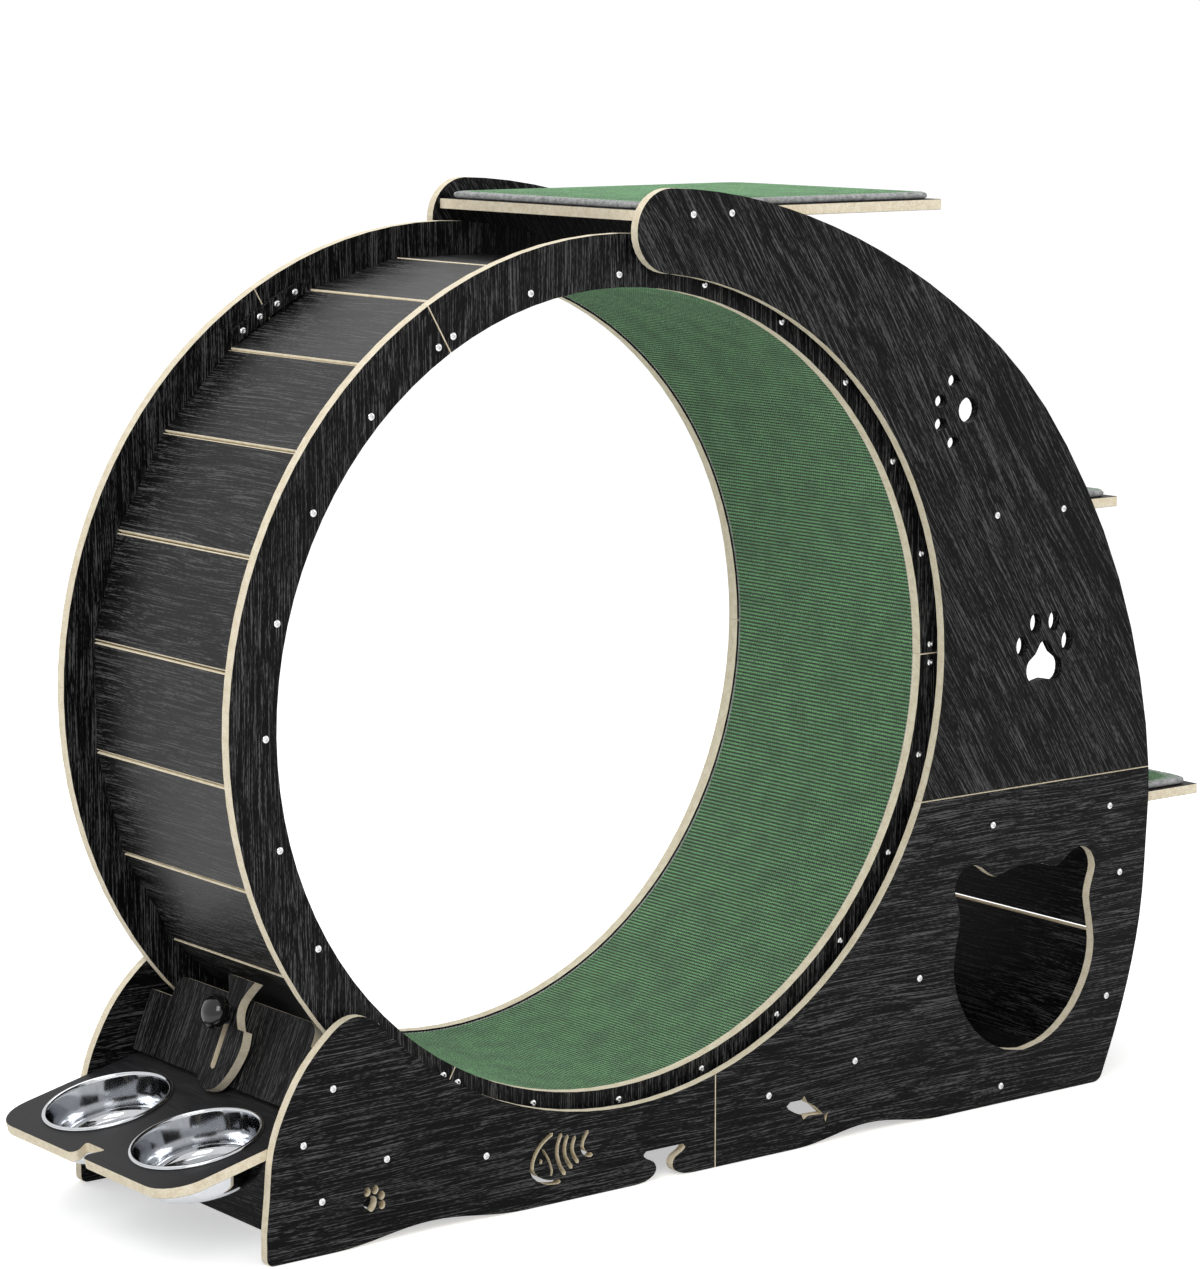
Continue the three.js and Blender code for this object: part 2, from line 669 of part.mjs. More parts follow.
function panelCutters() {
  const halves = (pairs, centre) => mirrored(spline(pairs, 2), centre);
  const toes = UPRIGHT_PAW_TOES.flatMap(([dx, z]) => [-dx, dx].map((d) => ({ x: UPRIGHT_PAW_X + d, z })));
  return [
    through(arc(0, AXIS_HEIGHT, ARC_RADIUS, 0, 360 - ARC_STEP)),
    ...BASE_WAVES.map(baseWave),
    baseNotch(),
    through(halves(DOOR_HALF, DOOR_X)),
    through(ellipse(SIDE_PAW.pad)),
    ...SIDE_PAW.toes.map(([x, z]) => through(ellipse({ x, z, ...SIDE_PAW.toe }))),
    through(halves(UPRIGHT_PAW_HALF, UPRIGHT_PAW_X)),
    ...toes.map((centre) => through(ellipse({ ...centre, ...UPRIGHT_PAW_TOE }))),
    through(spline([...SMALL_PAW_PAD, SMALL_PAW_PAD[0]], 2).slice(0, -1)),
    ...SMALL_PAW_TOES.map(([x, z]) => through(ellipse({ x, z, ...SMALL_PAW_TOE }, 10))),
    ...FISHBONE.map((path) => through(slot(path, FISHBONE_SLOT))),
    through(slot(FISHBONE_GILL, FISHBONE_GILL_SLOT)),
    through(ellipse(FISHBONE_EYE, 8)),
    through(FISH_BODY.map(([x, z]) => point(x, z))),
    through(FISH_TAIL.map(([x, z]) => point(x, z))),
  ];
}

function buildPanels() {
  const panels = new THREE.Group();
  const panel = cut(panelBlank(), ...panelCutters());
  const far = 4 * RING_RADIUS;
  const region = (x0, x1, z0, z1) => keep(panel, box(x0, x1, -BOARD, 2 * PANEL_THICKNESS, z0, z1));
  const pieces = {
    front_base_panel: region(-far, BASE_SEAM_X - FIT / 2, -far, ARCH_SEAM_HEIGHT),
    rear_base_panel: region(BASE_SEAM_X + FIT / 2, far, -far, ARCH_SEAM_HEIGHT - FIT / 2),
    arch_panel: region(-far, far, ARCH_SEAM_HEIGHT + FIT / 2, far),
  };
  const baseJoinerX = BASE_SEAM_X - BASE_JOINER.halfWidth;
  const arcBottom = AXIS_HEIGHT - Math.sqrt(ARC_RADIUS ** 2 - baseJoinerX ** 2);
  const baseJoiner = box(
    baseJoinerX,
    BASE_SEAM_X + BASE_JOINER.halfWidth,
    0,
    BASE_JOINER.thickness,
    BASE_JOINER.bottom,
    arcBottom - BASE_JOINER.underArc,
  );
  const archJoiner = box(
    ARCH_JOINER.from,
    ARCH_JOINER.to,
    0,
    ARCH_JOINER.thickness,
    ARCH_SEAM_HEIGHT - ARCH_JOINER.halfHeight,
    ARCH_SEAM_HEIGHT + ARCH_JOINER.halfHeight,
  );
  for (const [side, panelY, joinerY] of [
    ["near", -PANEL_INNER - PANEL_THICKNESS, () => FIT - PANEL_INNER],
    ["far", PANEL_INNER, (thickness) => PANEL_INNER - FIT - thickness],
  ]) {
    for (const [name, geometry] of Object.entries(pieces)) {
      add(panels, `${side}_${name}`, geometry, blackBoard, 0, panelY);
    }
    add(panels, `${side}_base_joiner`, baseJoiner, blackBoard, 0, joinerY(BASE_JOINER.thickness));
    add(panels, `${side}_arch_joiner`, archJoiner, blackBoard, 0, joinerY(ARCH_JOINER.thickness));
  }
  return panels;
}

// ---------- boards across the stand, with the platform, the steps and the house ----------
function houseBackAt(z) {
  return HOUSE_BACK_X + (z - HOUSE_FLOOR_Z - BOARD / 2) * Math.tan(rad(HOUSE_BACK_LEAN));
}

function leaningBackBoard(fromZ, toZ) {
  const half = BOARD / 2 / Math.cos(rad(HOUSE_BACK_LEAN));
  const outline = [
    point(houseBackAt(fromZ) - half, fromZ),
    point(houseBackAt(fromZ) + half, fromZ),
    point(houseBackAt(toZ) + half, toZ),
    point(houseBackAt(toZ) - half, toZ),
  ];
  return uprightBoard(outline, 2 * CROSS_HALF);
}

function addPlatform(group, name, fromX, length, z) {
  const middle = fromX + length / 2;
  add(group, name, crossBoard(length, BOARD), blackBoard, middle, 0, z);
  const pad = cushion(length / 2 - PAD_INSET, CROSS_HALF - PAD_SIDE_INSET);
  add(group, `${name}_pad`, pad, felt, middle, 0, z + BOARD / 2 + FIT);
}

function buildStandBoards() {
  const boards = new THREE.Group();
  const platformZ = AXIS_HEIGHT + RING_RADIUS + PLATFORM_CLEARANCE + BOARD / 2;
  addPlatform(boards, "top_platform", PLATFORM_FROM, PLATFORM_LENGTH, platformZ);
  const upperFrom = besideWheel(UPPER_STEP_Z - BOARD / 2, UPPER_STEP_CLEARANCE);
  addPlatform(boards, "upper_step", upperFrom, UPPER_STEP_LENGTH, UPPER_STEP_Z);
  addPlatform(boards, "lower_step", LOWER_STEP_FROM, LOWER_STEP_LENGTH, LOWER_STEP_Z);

  const tie = crossBoard(BOARD, TIE_HEIGHT);
  const tiePlace = polar(-TIE_ANGLE, ARC_RADIUS + TIE_WIDTH);
  add(boards, "front_tie_board", tie, blackBoard, -tiePlace.x, 0, tiePlace.y);
  add(boards, "rear_tie_board", tie, blackBoard, tiePlace.x, 0, tiePlace.y);

  const floorTop = HOUSE_FLOOR_Z + BOARD / 2 + FIT;
  const roofUnder = LOWER_STEP_Z - BOARD / 2 - FIT;
  const wheelSide = HOUSE_FRONT_X - BOARD / 2;
  const frontTop = AXIS_HEIGHT - Math.sqrt((RING_RADIUS + HOUSE_FRONT_CLEARANCE) ** 2 - wheelSide ** 2);
  const frontWall = crossBoard(BOARD, frontTop - floorTop);
  add(boards, "house_front_wall", frontWall, blackBoard, HOUSE_FRONT_X, 0, (frontTop + floorTop) / 2);
  const lower = leaningBackBoard(floorTop, HOUSE_BACK_SEAM - HOUSE_BACK_SLIT / 2);
  add(boards, "house_back_lower", lower, blackBoard, 0, -CROSS_HALF);
  const upper = leaningBackBoard(HOUSE_BACK_SEAM + HOUSE_BACK_SLIT / 2, roofUnder);
  add(boards, "house_back_upper", upper, blackBoard, 0, -CROSS_HALF);
  const floorTo = houseBackAt(floorTop) + BOARD / 2;
  const floor = crossBoard(floorTo - wheelSide, BOARD);
  add(boards, "house_floor", floor, blackBoard, (wheelSide + floorTo) / 2, 0, HOUSE_FLOOR_Z);
  return boards;
}

// ---------- bowl station: the group's origin is at the plate's screws, its x runs up the slope ----------
function plateOutline() {
  const front = -PLATE_FRONT;
  const bottom = front + PLATE_NOTCH_DEPTH;
  const lip = point(front, PLATE_NOTCH_MOUTH);
  const notchCorner = point(bottom, PLATE_NOTCH_FLOOR);
  const frontCorner = point(front, CROSS_HALF);
  const rearCorner = point(PLATE_REAR, CROSS_HALF);
  const half = [
    ...corner(point(bottom, 0), notchCorner, lip, PLATE_NOTCH_CORNER, 2),
    ...corner(notchCorner, lip, frontCorner, PLATE_NOTCH_ROUND, 5),
    ...corner(lip, frontCorner, rearCorner, PLATE_CORNER, 8),
    rearCorner,
  ];
  const other = half.map((p) => point(p.x, -p.y)).reverse();
  return [...half, ...other];
}

function bowlProfile() {
  const seat = BOARD / 2 + FIT;
  const rimTop = seat + BOWL_RIM_HEIGHT;
  const bottom = rimTop - BOWL_DEPTH;
  const knee = BOWL_FLOOR_RADIUS + BOWL_CORNER;
  return [
    [0, bottom],
    [BOWL_FLOOR_RADIUS, bottom],
    [knee, bottom + BOWL_CORNER],
    [BOWL_RADIUS, seat],
    [BOWL_RIM_RADIUS, seat],
    [BOWL_RIM_RADIUS, rimTop],
    [BOWL_RADIUS - BOWL_WALL, rimTop],
    [knee - BOWL_WALL, bottom + BOWL_CORNER],
    [BOWL_FLOOR_RADIUS, bottom + BOWL_WALL],
    [0, bottom + BOWL_WALL],
  ];
}

function buildBowlStation() {
  const station = new THREE.Group();
  station.position.set(PLATE_SCREW.x, 0, PLATE_SCREW.y);
  station.rotation.y = -rad(PLATE_TILT);
  const holes = [-1, 1].map((side) =>
    arc(-BOWL_FORWARD, (side * BOWL_SPACING) / 2, BOWL_HOLE_RADIUS, 0, 352.5, 7.5),
  );
  const plate = flatBoard(plateOutline(), BOARD, holes);
  add(station, "bowl_plate", plate, blackBoard, 0, 0, -BOARD / 2);
  const bowl = lathe(bowlProfile(), 36);
  add(station, "near_bowl", bowl, steel, -BOWL_FORWARD, -BOWL_SPACING / 2);
  add(station, "far_bowl", bowl, steel, -BOWL_FORWARD, BOWL_SPACING / 2);
  return station;
}

// A point over the plate in the model's x and z: so far behind the screws and above the plate's middle.
function overPlate(along, above) {
  return point(along, above).rotateAround(point(0, 0), rad(PLATE_TILT)).add(PLATE_SCREW);
}

function buildFrontBeam() {
  const beam = new THREE.Group();
  const frontX = BEAM_BACK - BOARD / 2;
  const under = frontX * Math.tan(rad(PLATE_TILT)) - BOARD / 2 / Math.cos(rad(PLATE_TILT));
  const top = PLATE_SCREW.y + under - BEAM_UNDER_PLATE;
  const height = top - BEAM_OVER_FLOOR;
  const middle = (top + BEAM_OVER_FLOOR) / 2;
  add(beam, "front_beam", crossBoard(BOARD, height), blackBoard, PLATE_SCREW.x + BEAM_BACK, 0, middle);
  return beam;
}

// ---------- leaning board and lock: x runs across the wheel's width, z up the board, y towards the wheel ----------
function leaningBoardOutline() {
  const shoulder = point(CROSS_HALF, LEAN_HEIGHT);
  const tabHalf = RING_FACE - TAB_RING_GAP;
  const foot = point(tabHalf, LEAN_HEIGHT);
  const top = point(tabHalf, TAB_HEIGHT);
  const half = [
    point(CROSS_HALF, 0),
    shoulder,
    foot,
    ...corner(foot, top, point(0, TAB_HEIGHT), TAB_CORNER),
  ];
  return mirrored(half);
}

function leverOutline() {
  const belly = spline(LEVER_HALF);
  const neck = spline([LEVER_NECK_LOW, [14.5, 73], LEVER_NECK, [15, 97], LEVER_TAIL], 3);
  return mirrored([...belly, ...neck]);
}

function leverSlot() {
  const half = STUD_RADIUS + STUD_SLOT_PLAY;
  return [
    ...arc(0, SLOT_LOW + half, half, 180, 360, 30),
    ...arc(0, STUD_HEIGHT + SLOT_END_PLAY - STUD_SLOT_PLAY, half, 0, 180, 30),
  ];
}

// Knob and stud, along +Z from the board's front face.
function knobProfile() {
  const start = LEVER_GAP + LEVER_THICKNESS + KNOB_GAP;
  const back = start + KNOB_NECK;
  const front = back + KNOB_DEPTH;
  const widest = back + KNOB_WIDEST;
  const dome = [];
  for (let i = 1; i < 5; i++) {
    const a = rad((90 * i) / 5);
    dome.push([KNOB_RADIUS * Math.cos(a), widest + (front - widest) * Math.sin(a)]);
  }
  return [
    [0, -STUD_REACH],
    [STUD_RADIUS, -STUD_REACH],
    [STUD_RADIUS, start],
    [KNOB_NECK_RADIUS, start],
    [KNOB_NECK_RADIUS, back],
    [KNOB_BACK_RADIUS, back],
    [KNOB_RADIUS, widest],
    ...dome,
    [0, front],
  ];
}

function buildLock() {
  const lock = new THREE.Group();
  const foot = overPlate(LEAN_FOOT, BOARD / 2 + FIT);
  lock.position.set(foot.x - BOARD * Math.cos(rad(LEAN)), 0, foot.y + BOARD * Math.sin(rad(LEAN)));
  lock.rotation.set(0, rad(LEAN), -Math.PI / 2, "YZX");
  const hole = arc(0, STUD_HEIGHT, STUD_RADIUS + STUD_HOLE_PLAY, 0, 345, 15);
  add(lock, "leaning_board", uprightBoard(leaningBoardOutline(), BOARD, [hole]), blackBoard);
  const lever = uprightBoard(leverOutline(), LEVER_THICKNESS, [leverSlot()]);
  add(lock, "lock_lever", lever, blackBoard, 0, -LEVER_GAP - LEVER_THICKNESS);
  const knob = add(lock, "lock_knob", lathe(knobProfile(), 24), blackPlastic, 0, 0, STUD_HEIGHT);
  knob.rotation.x = Math.PI / 2;
  return lock;
}

// ---------- the whole, with its origin on the floor in the middle of its length ----------
const assembly = new THREE.Group();
assembly.add(buildWheel(), buildRollers(), buildPanels(), buildStandBoards());
assembly.add(buildBowlStation(), buildFrontBeam(), buildLock());
const frontEnd = overPlate(-PLATE_FRONT, BOARD / 2).x;
const rearEnd = LOWER_STEP_FROM + LOWER_STEP_LENGTH;
assembly.position.x = -(frontEnd + rearEnd) / 2;

const catExerciseWheel = new THREE.Group();
catExerciseWheel.add(assembly);
export default catExerciseWheel;
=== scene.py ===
"""Cat exercise wheel: finishes, carpet, pads, bowls, rollers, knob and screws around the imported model."""

import json
import math
from math import cos, pi, radians, sin, tau

import bpy
from mathutils import Euler, Matrix, Quaternion, Vector


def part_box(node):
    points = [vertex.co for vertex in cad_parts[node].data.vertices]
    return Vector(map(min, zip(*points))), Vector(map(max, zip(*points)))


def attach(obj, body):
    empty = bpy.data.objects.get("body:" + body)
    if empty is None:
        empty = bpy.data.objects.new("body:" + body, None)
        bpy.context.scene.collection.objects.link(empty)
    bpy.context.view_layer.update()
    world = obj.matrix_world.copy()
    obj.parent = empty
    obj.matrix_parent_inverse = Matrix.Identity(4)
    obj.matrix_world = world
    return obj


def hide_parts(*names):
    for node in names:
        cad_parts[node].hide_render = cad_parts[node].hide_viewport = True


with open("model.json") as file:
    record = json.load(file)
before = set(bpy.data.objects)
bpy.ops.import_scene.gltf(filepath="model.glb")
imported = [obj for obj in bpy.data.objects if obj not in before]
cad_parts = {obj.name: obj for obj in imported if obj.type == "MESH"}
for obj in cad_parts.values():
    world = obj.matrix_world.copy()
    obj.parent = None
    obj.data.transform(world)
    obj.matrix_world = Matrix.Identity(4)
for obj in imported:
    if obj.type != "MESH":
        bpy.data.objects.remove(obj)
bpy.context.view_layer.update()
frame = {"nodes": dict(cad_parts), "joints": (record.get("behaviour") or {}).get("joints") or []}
nodes = frame["nodes"]
joints = {joint["name"]: joint for joint in frame["joints"]}

# ---------- sizes, in metres ----------
AXIS = Vector(joints["wheel_spin"]["pos_m"])
MERGE = 0.00002  # points as near as this are one
EDGE_BREAK = 0.0004  # broken edge of a sawn board
SEAM_BREAK = 0.0006  # the same where two panels meet
SLAT_BREAK = 0.0013  # and where two slats meet on the outside of the wheel
SLAT_CORNER_RADIUS = 0.4635  # just inside the slats' outer corners
PANEL_SEAM_REACH = 0.002  # how near to a seam an edge belongs to it
RING_SEAM_REACH = 0.15  # the same on a ring, in degrees
SMOOTH_ANGLE = radians(28)

RING_SEAMS = (0, 120, 240)
SLAT_STEP = 15
RING_SCREW_RADIUS = 0.4562
RING_SEAM_SPREAD = 1.35  # degrees from a ring's seam to the screws beside it
JOINER_SCREW_RADIUS = 0.4725
JOINER_SCREW_ANGLES = (-4.8, -1.6, 1.6, 4.8)

# screws of a side panel, x from the wheel's axis and z from the floor
PANEL_SCREWS = (
    (-0.3936, 0.1773),
    (-0.4312, 0.1228),
    (-0.4089, 0.0584),
    (-0.3268, 0.0899),
    (0.3268, 0.0899),
    (-0.1976, 0.0702),
    (0.1976, 0.0702),
    (0.4255, 0.1727),
    (0.5578, 0.0215),
    (0.7307, 0.1057),
    (0.7492, 0.2567),
    (0.5387, 0.3406),
    (0.7303, 0.3406),
    (0.5381, 0.7076),
    (0.6444, 0.7076),
    (0.0834, 1.0691),
    (0.1371, 1.0691),
)
SCREW_RADIUS = 0.0042
SCREW_HEIGHT = 0.0026

CARPET_ROW = 0.0045
CARPET_RIB = 0.0009
CARPET_BORDER = 0.0026
CARPET_BACKING = 0.0026
CARPET_SEAT = 0.0037  # from the slats' inner faces to the carpet's face
CARPET_LOOP = 0.0034

PAD_CORNER = 0.020
PAD_CROWN = 0.0014
PAD_SLOPE = 0.05  # from the pile's rim to the height of its crown
PAD_SWELL = 0.0006
PAD_SWELL_FRAMES = 10
PAD_FELT_EDGE = 0.0075
PAD_VOXEL = 0.0035
PILE_STANDS_PROUD = 0.0006
PILE_THICKNESS = 0.0022

ARCH_PAWS = ((0.470, 0.282), (0.6187, -0.009))  # their middles, x and z from the wheel's axis
PAW_REACH = 0.06

BOWL_DEPTH = 0.050
BOWL_WALL = 0.0009
BOWL_LIP = 0.0026  # radius of the rolled rim
BOWL_FLOOR = 0.0638  # radius where the wall would meet the floor without its rounding
BOWL_ROUND = 0.012

KNOB_LENGTH = 0.030  # with its collar, without its stud
KNOB_HEAD = 0.021
KNOB_RIM = 0.0074  # from the head's back to the foot of its dome
KNOB_COLLAR_RADIUS = 0.0105
STUD_RADIUS = 0.0039

ROLLER_BORE = 0.00435  # radius
ROLLER_FLANGE = 0.0024  # thickness
ROLLER_GROOVE = 0.005  # depth
ROLLER_DISH = 0.0011  # depth of the hollow between hub and flange
ROLLER_EDGE = 0.0008
AXLE_CHAMFER = 0.0006

# ---------- the camera of the photograph ----------
CAMERA_PLACE = (-2.6032, -3.5354, 1.2782)  # from the wheel's axis on the floor
CAMERA_TURN = 37.48  # degrees from +Y towards +X
CAMERA_DROP = 8.857
CAMERA_LENS = 112.2

# ---------- light ----------
ROOM_LIGHT = 0.6
FLOOR_GLOW = 0.5  # makes the lit floor as white as the room around it
FLOOR_LEVEL = -0.0006  # just under the stand


def make_camera():
    bpy.ops.object.camera_add()
    camera = bpy.context.object
    camera.name = "photograph_camera"
    camera.location = Vector(CAMERA_PLACE) + Vector((AXIS.x, 0, 0))
    camera.rotation_euler = (radians(90 - CAMERA_DROP), 0, radians(-CAMERA_TURN))
    camera.data.sensor_width = 36
    camera.data.lens = CAMERA_LENS
    bpy.context.scene.camera = camera


# ---------- node helpers ----------
class Graph:
    """Adds shader nodes to a tree. An input is a socket to link from, or a plain value."""

    def __init__(self, tree):
        self.tree = tree

    def add(self, kind, inputs=None, **settings):
        made = self.tree.nodes.new(kind)
        for key, value in settings.items():
            setattr(made, key, value)
        for key, value in (inputs or {}).items():
            self.feed(made.inputs[key], value)
        return made

    def feed(self, socket, value):
        if isinstance(value, bpy.types.NodeSocket):
            self.tree.links.new(value, socket)
        else:
            socket.default_value = value

    def math(self, operation, first, second=0.0, third=0.0):
        inputs = {0: first, 1: second, 2: third}
        return self.add("ShaderNodeMath", inputs, operation=operation).outputs[0]

    def vector(self, operation, first, second):
        inputs = {0: first, 1: second}
        return self.add("ShaderNodeVectorMath", inputs, operation=operation).outputs[0]

    def noise(self, vector, scale=1.0, detail=2.0, roughness=0.5):
        inputs = {"Vector": vector, "Scale": scale, "Detail": detail, "Roughness": roughness}
        return self.add("ShaderNodeTexNoise", inputs).outputs["Fac"]

    def stretch(self, value, low, high, to_low=0.0, to_high=1.0):
        inputs = {"Value": value, "From Min": low, "From Max": high, "To Min": to_low, "To Max": to_high}
        node = self.add("ShaderNodeMapRange", inputs, interpolation_type="SMOOTHSTEP")
        return node.outputs["Result"]

    def mix(self, share, first, second):
        node = self.add("ShaderNodeMix", data_type="RGBA")
        sockets = {socket.identifier: socket for socket in node.inputs}
        for key, value in (("Factor_Float", share), ("A_Color", first), ("B_Color", second)):
            self.feed(sockets[key], value)
        return next(socket for socket in node.outputs if socket.identifier == "Result_Color")


SOCKETS = {"vector": "NodeSocketVector", "value": "NodeSocketFloat", "colour": "NodeSocketColor"}


def shader_group(name, inputs, outputs, build):
    """A node group whose build function gets the graph and the input sockets, and returns the outputs."""
    tree = bpy.data.node_groups.new(name, "ShaderNodeTree")
    for key, kind, default in inputs:
        socket = tree.interface.new_socket(key, in_out="INPUT", socket_type=SOCKETS[kind])
        if default is not None:
            socket.default_value = default
    for key, kind in outputs:
        tree.interface.new_socket(key, in_out="OUTPUT", socket_type=SOCKETS[kind])
    graph = Graph(tree)
    given = tree.nodes.new("NodeGroupInput").outputs
    result = tree.nodes.new("NodeGroupOutput").inputs
    for key, socket in build(graph, given).items():
        tree.links.new(socket, result[key])
    return tree


def colour(red, green, blue):
    """A colour written in the 0 to 255 of a screen, as the shader wants it."""
    shares = [level / 255 for level in (red, green, blue)]
    linear = [share / 12.92 if share <= 10 / 255 else ((share + 0.055) / 1.055) ** 2.4 for share in shares]
    return (*linear, 1.0)


def finish(name, roughness=0.5, metallic=0.0, **settings):
    """A new material, its graph and its Principled shader."""
    material = bpy.data.materials.new(name)
    material.use_nodes = True
    shader = material.node_tree.nodes["Principled BSDF"]
    shader.inputs["Roughness"].default_value = roughness
    shader.inputs["Metallic"].default_value = metallic
    for key, value in settings.items():
        shader.inputs[key.replace("_", " ")].default_value = value
    return material, Graph(material.node_tree), shader


def use_group(graph, tree, inputs):
    return graph.add("ShaderNodeGroup", inputs, node_tree=tree).outputs


def raise_surface(graph, shader, height, distance, strength=1.0):
    bump = graph.add("ShaderNodeBump", {"Height": height, "Distance": distance, "Strength": strength})
    graph.feed(shader.inputs["Normal"], bump.outputs["Normal"])


def object_place(graph):
    return graph.add("ShaderNodeTexCoord").outputs["Object"]


# ---------- shared patterns ----------
def build_ash_grain(graph, given):
    """Black ash laminate: long pale grain lines along X that wander a little, in bands of more and less."""
    place = given["Vector"]
    stretched = graph.vector("MULTIPLY", place, (3.0, 14, 14))
    slow = graph.add("ShaderNodeTexNoise", {"Vector": stretched, "Scale": 1.0})
    centred = graph.vector("SUBTRACT", slow.outputs["Color"], (0.5, 0.5, 0.5))
    wander = graph.vector("MULTIPLY", centred, (0.0, 0.022, 0.022))
    grained = graph.vector("ADD", place, wander)
    lines = graph.noise(graph.vector("MULTIPLY", grained, (11, 800, 800)), detail=1.0, roughness=0.5)
    broken = graph.noise(graph.vector("MULTIPLY", grained, (150, 900, 900)), detail=1.0)
    bands = graph.noise(graph.vector("MULTIPLY", grained, (1.7, 26, 26)), detail=2.0)
    both = graph.math("ADD", graph.math("MULTIPLY", lines, 0.68), graph.math("MULTIPLY", broken, 0.32))
    level = graph.math("SUBTRACT", given["Line level"], graph.math("MULTIPLY", bands, 0.12))
    line = graph.stretch(graph.math("SUBTRACT", both, level), 0.0, 0.2)
    return {
        "Colour": graph.mix(line, given["Ground"], given["Line"]),
        "Roughness": graph.stretch(line, 0.0, 1.0, 0.42, 0.62),
        "Height": line,
    }


def build_fibre(graph, given):
    """Short pressed fibres, pale on dark, for raw board and felt."""
    place = given["Vector"]
    scale = given["Scale"]
    fibres = graph.noise(place, scale, 3.0, 0.7)
    clumps = graph.noise(place, graph.math("MULTIPLY", scale, 0.12), 2.0, 0.5)
    both = graph.math("ADD", graph.math("MULTIPLY", fibres, 0.7), graph.math("MULTIPLY", clumps, 0.3))
    share = graph.stretch(both, 0.36, 0.62)
    return {"Colour": graph.mix(share, given["Dark"], given["Light"]), "Height": both}


def build_loop_pile(graph, given):
    """Rows of short loops, with painted shade in the gaps between them and painted highlight on their tops: X
    across the rows and Y along them, both in metres.
    """
    parts = graph.add("ShaderNodeSeparateXYZ", {0: given["Vector"]}).outputs
    row = graph.math("DIVIDE", parts["X"], given["Row"])
    index = graph.math("FLOOR", row)
    crest = graph.math("SINE", graph.math("MULTIPLY", graph.math("FRACT", row), pi))
    shift = graph.math("FRACT", graph.math("MULTIPLY", index, 0.618))
    along = graph.math("ADD", graph.math("DIVIDE", parts["Y"], given["Loop"]), shift)
    knot = graph.math("SINE", graph.math("MULTIPLY", graph.math("FRACT", along), pi))
    ragged = graph.noise(given["Vector"], 520, 2.0, 0.7)
    patch = graph.noise(given["Vector"], 26, 3.0, 0.6)
    loop = graph.math("MULTIPLY", crest, graph.math("MULTIPLY_ADD", knot, 0.55, 0.45))
    tuft = graph.math("ADD", loop, graph.math("MULTIPLY", graph.math("SUBTRACT", ragged, 0.5), 1.7))
    # colour runs from painted shade in the gaps between the loops to painted highlight on their tops, in
    # random patches of lighter and darker green
    share = graph.stretch(tuft, 0.28, 1.0)
    shade_to_highlight = graph.math("MULTIPLY", share, graph.stretch(patch, 0.3, 0.7, 0.72, 1.12))
    return {"Colour": graph.mix(shade_to_highlight, given["Shaded gap"], given["Lit tip"]), "Height": tuft}


ash_grain = shader_group(
    "Ash grain",
    [
        ("Vector", "vector", None),
        ("Ground", "colour", colour(9, 9, 10)),
        ("Line", "colour", colour(82, 82, 82)),
        ("Line level", "value", 0.545),
    ],
    [("Colour", "colour"), ("Roughness", "value"), ("Height", "value")],
    build_ash_grain,
)
fibre = shader_group(
    "Pressed fibre",
    [
        ("Vector", "vector", None),
        ("Scale", "value", 600.0),
        ("Dark", "colour", colour(190, 175, 145)),
        ("Light", "colour", colour(232, 222, 200)),
    ],
    [("Colour", "colour"), ("Height", "value")],
    build_fibre,
)
loop_pile = shader_group(
    "Loop pile",
    [
        ("Vector", "vector", None),
        ("Row", "value", CARPET_ROW),
        ("Loop", "value", CARPET_LOOP),
        # the pile is one green: the gap colour is painted shade between the loops and the tip colour is
        # painted highlight on their tops
        ("Shaded gap", "colour", colour(8, 34, 15)),
        ("Lit tip", "colour", colour(124, 190, 126)),
    ],
    [("Colour", "colour"), ("Height", "value")],
    build_loop_pile,
)


# ---------- finishes ----------
def black_ash(name, turn=(0.0, 0.0, 0.0), sheen=0.06, **shades):
    """Black ash laminate whose grain runs along the X axis of a frame turned by these degrees."""
    material, graph, shader = finish(name, Specular_IOR_Level=sheen)
    inputs = {"Vector": object_place(graph), "Rotation": Euler([radians(angle) for angle in turn])}
    along = graph.add("ShaderNodeMapping", inputs, vector_type="TEXTURE").outputs[0]
    grain = use_group(graph, ash_grain, {"Vector": along, **shades})
    graph.feed(shader.inputs["Base Color"], grain["Colour"])
    graph.feed(shader.inputs["Roughness"], grain["Roughness"])
    raise_surface(graph, shader, grain["Height"], 0.0002, 0.6)
    return material


def fibrous(name, dark, light, scale, depth, roughness):
    """Raw board or felt. Scale is the fibres' count in a metre."""
    material, graph, shader = finish(name, roughness)
    inputs = {"Vector": object_place(graph), "Scale": scale, "Dark": dark, "Light": light}
    pressed = use_group(graph, fibre, inputs)
    graph.feed(shader.inputs["Base Color"], pressed["Colour"])
    raise_surface(graph, shader, pressed["Height"], depth)
    return material


def green_pile():
    material, graph, shader = finish("Green ribbed carpet", 0.95, Sheen_Weight=0.15, Sheen_Roughness=0.6)
    place = graph.add("ShaderNodeUVMap", uv_map="pile").outputs["UV"]
    pile = use_group(graph, loop_pile, {"Vector": place})
    graph.feed(shader.inputs["Base Color"], pile["Colour"])
    raise_surface(graph, shader, pile["Height"], 0.0011)
    return material


def steel(name, tone, roughness, spread):
    """Steel that is duller in clouds, by this spread of roughness."""
    material, graph, shader = finish(name, roughness, 1.0)
    cloud = graph.noise(object_place(graph), 90, 3.0, 0.6)
    shade = graph.mix(graph.stretch(cloud, 0.3, 0.7), colour(*[c - 9 for c in tone]), colour(*tone))
    graph.feed(shader.inputs["Base Color"], shade)
    worn = graph.stretch(cloud, 0.35, 0.65, roughness, roughness + spread)
    graph.feed(shader.inputs["Roughness"], worn)
    return material


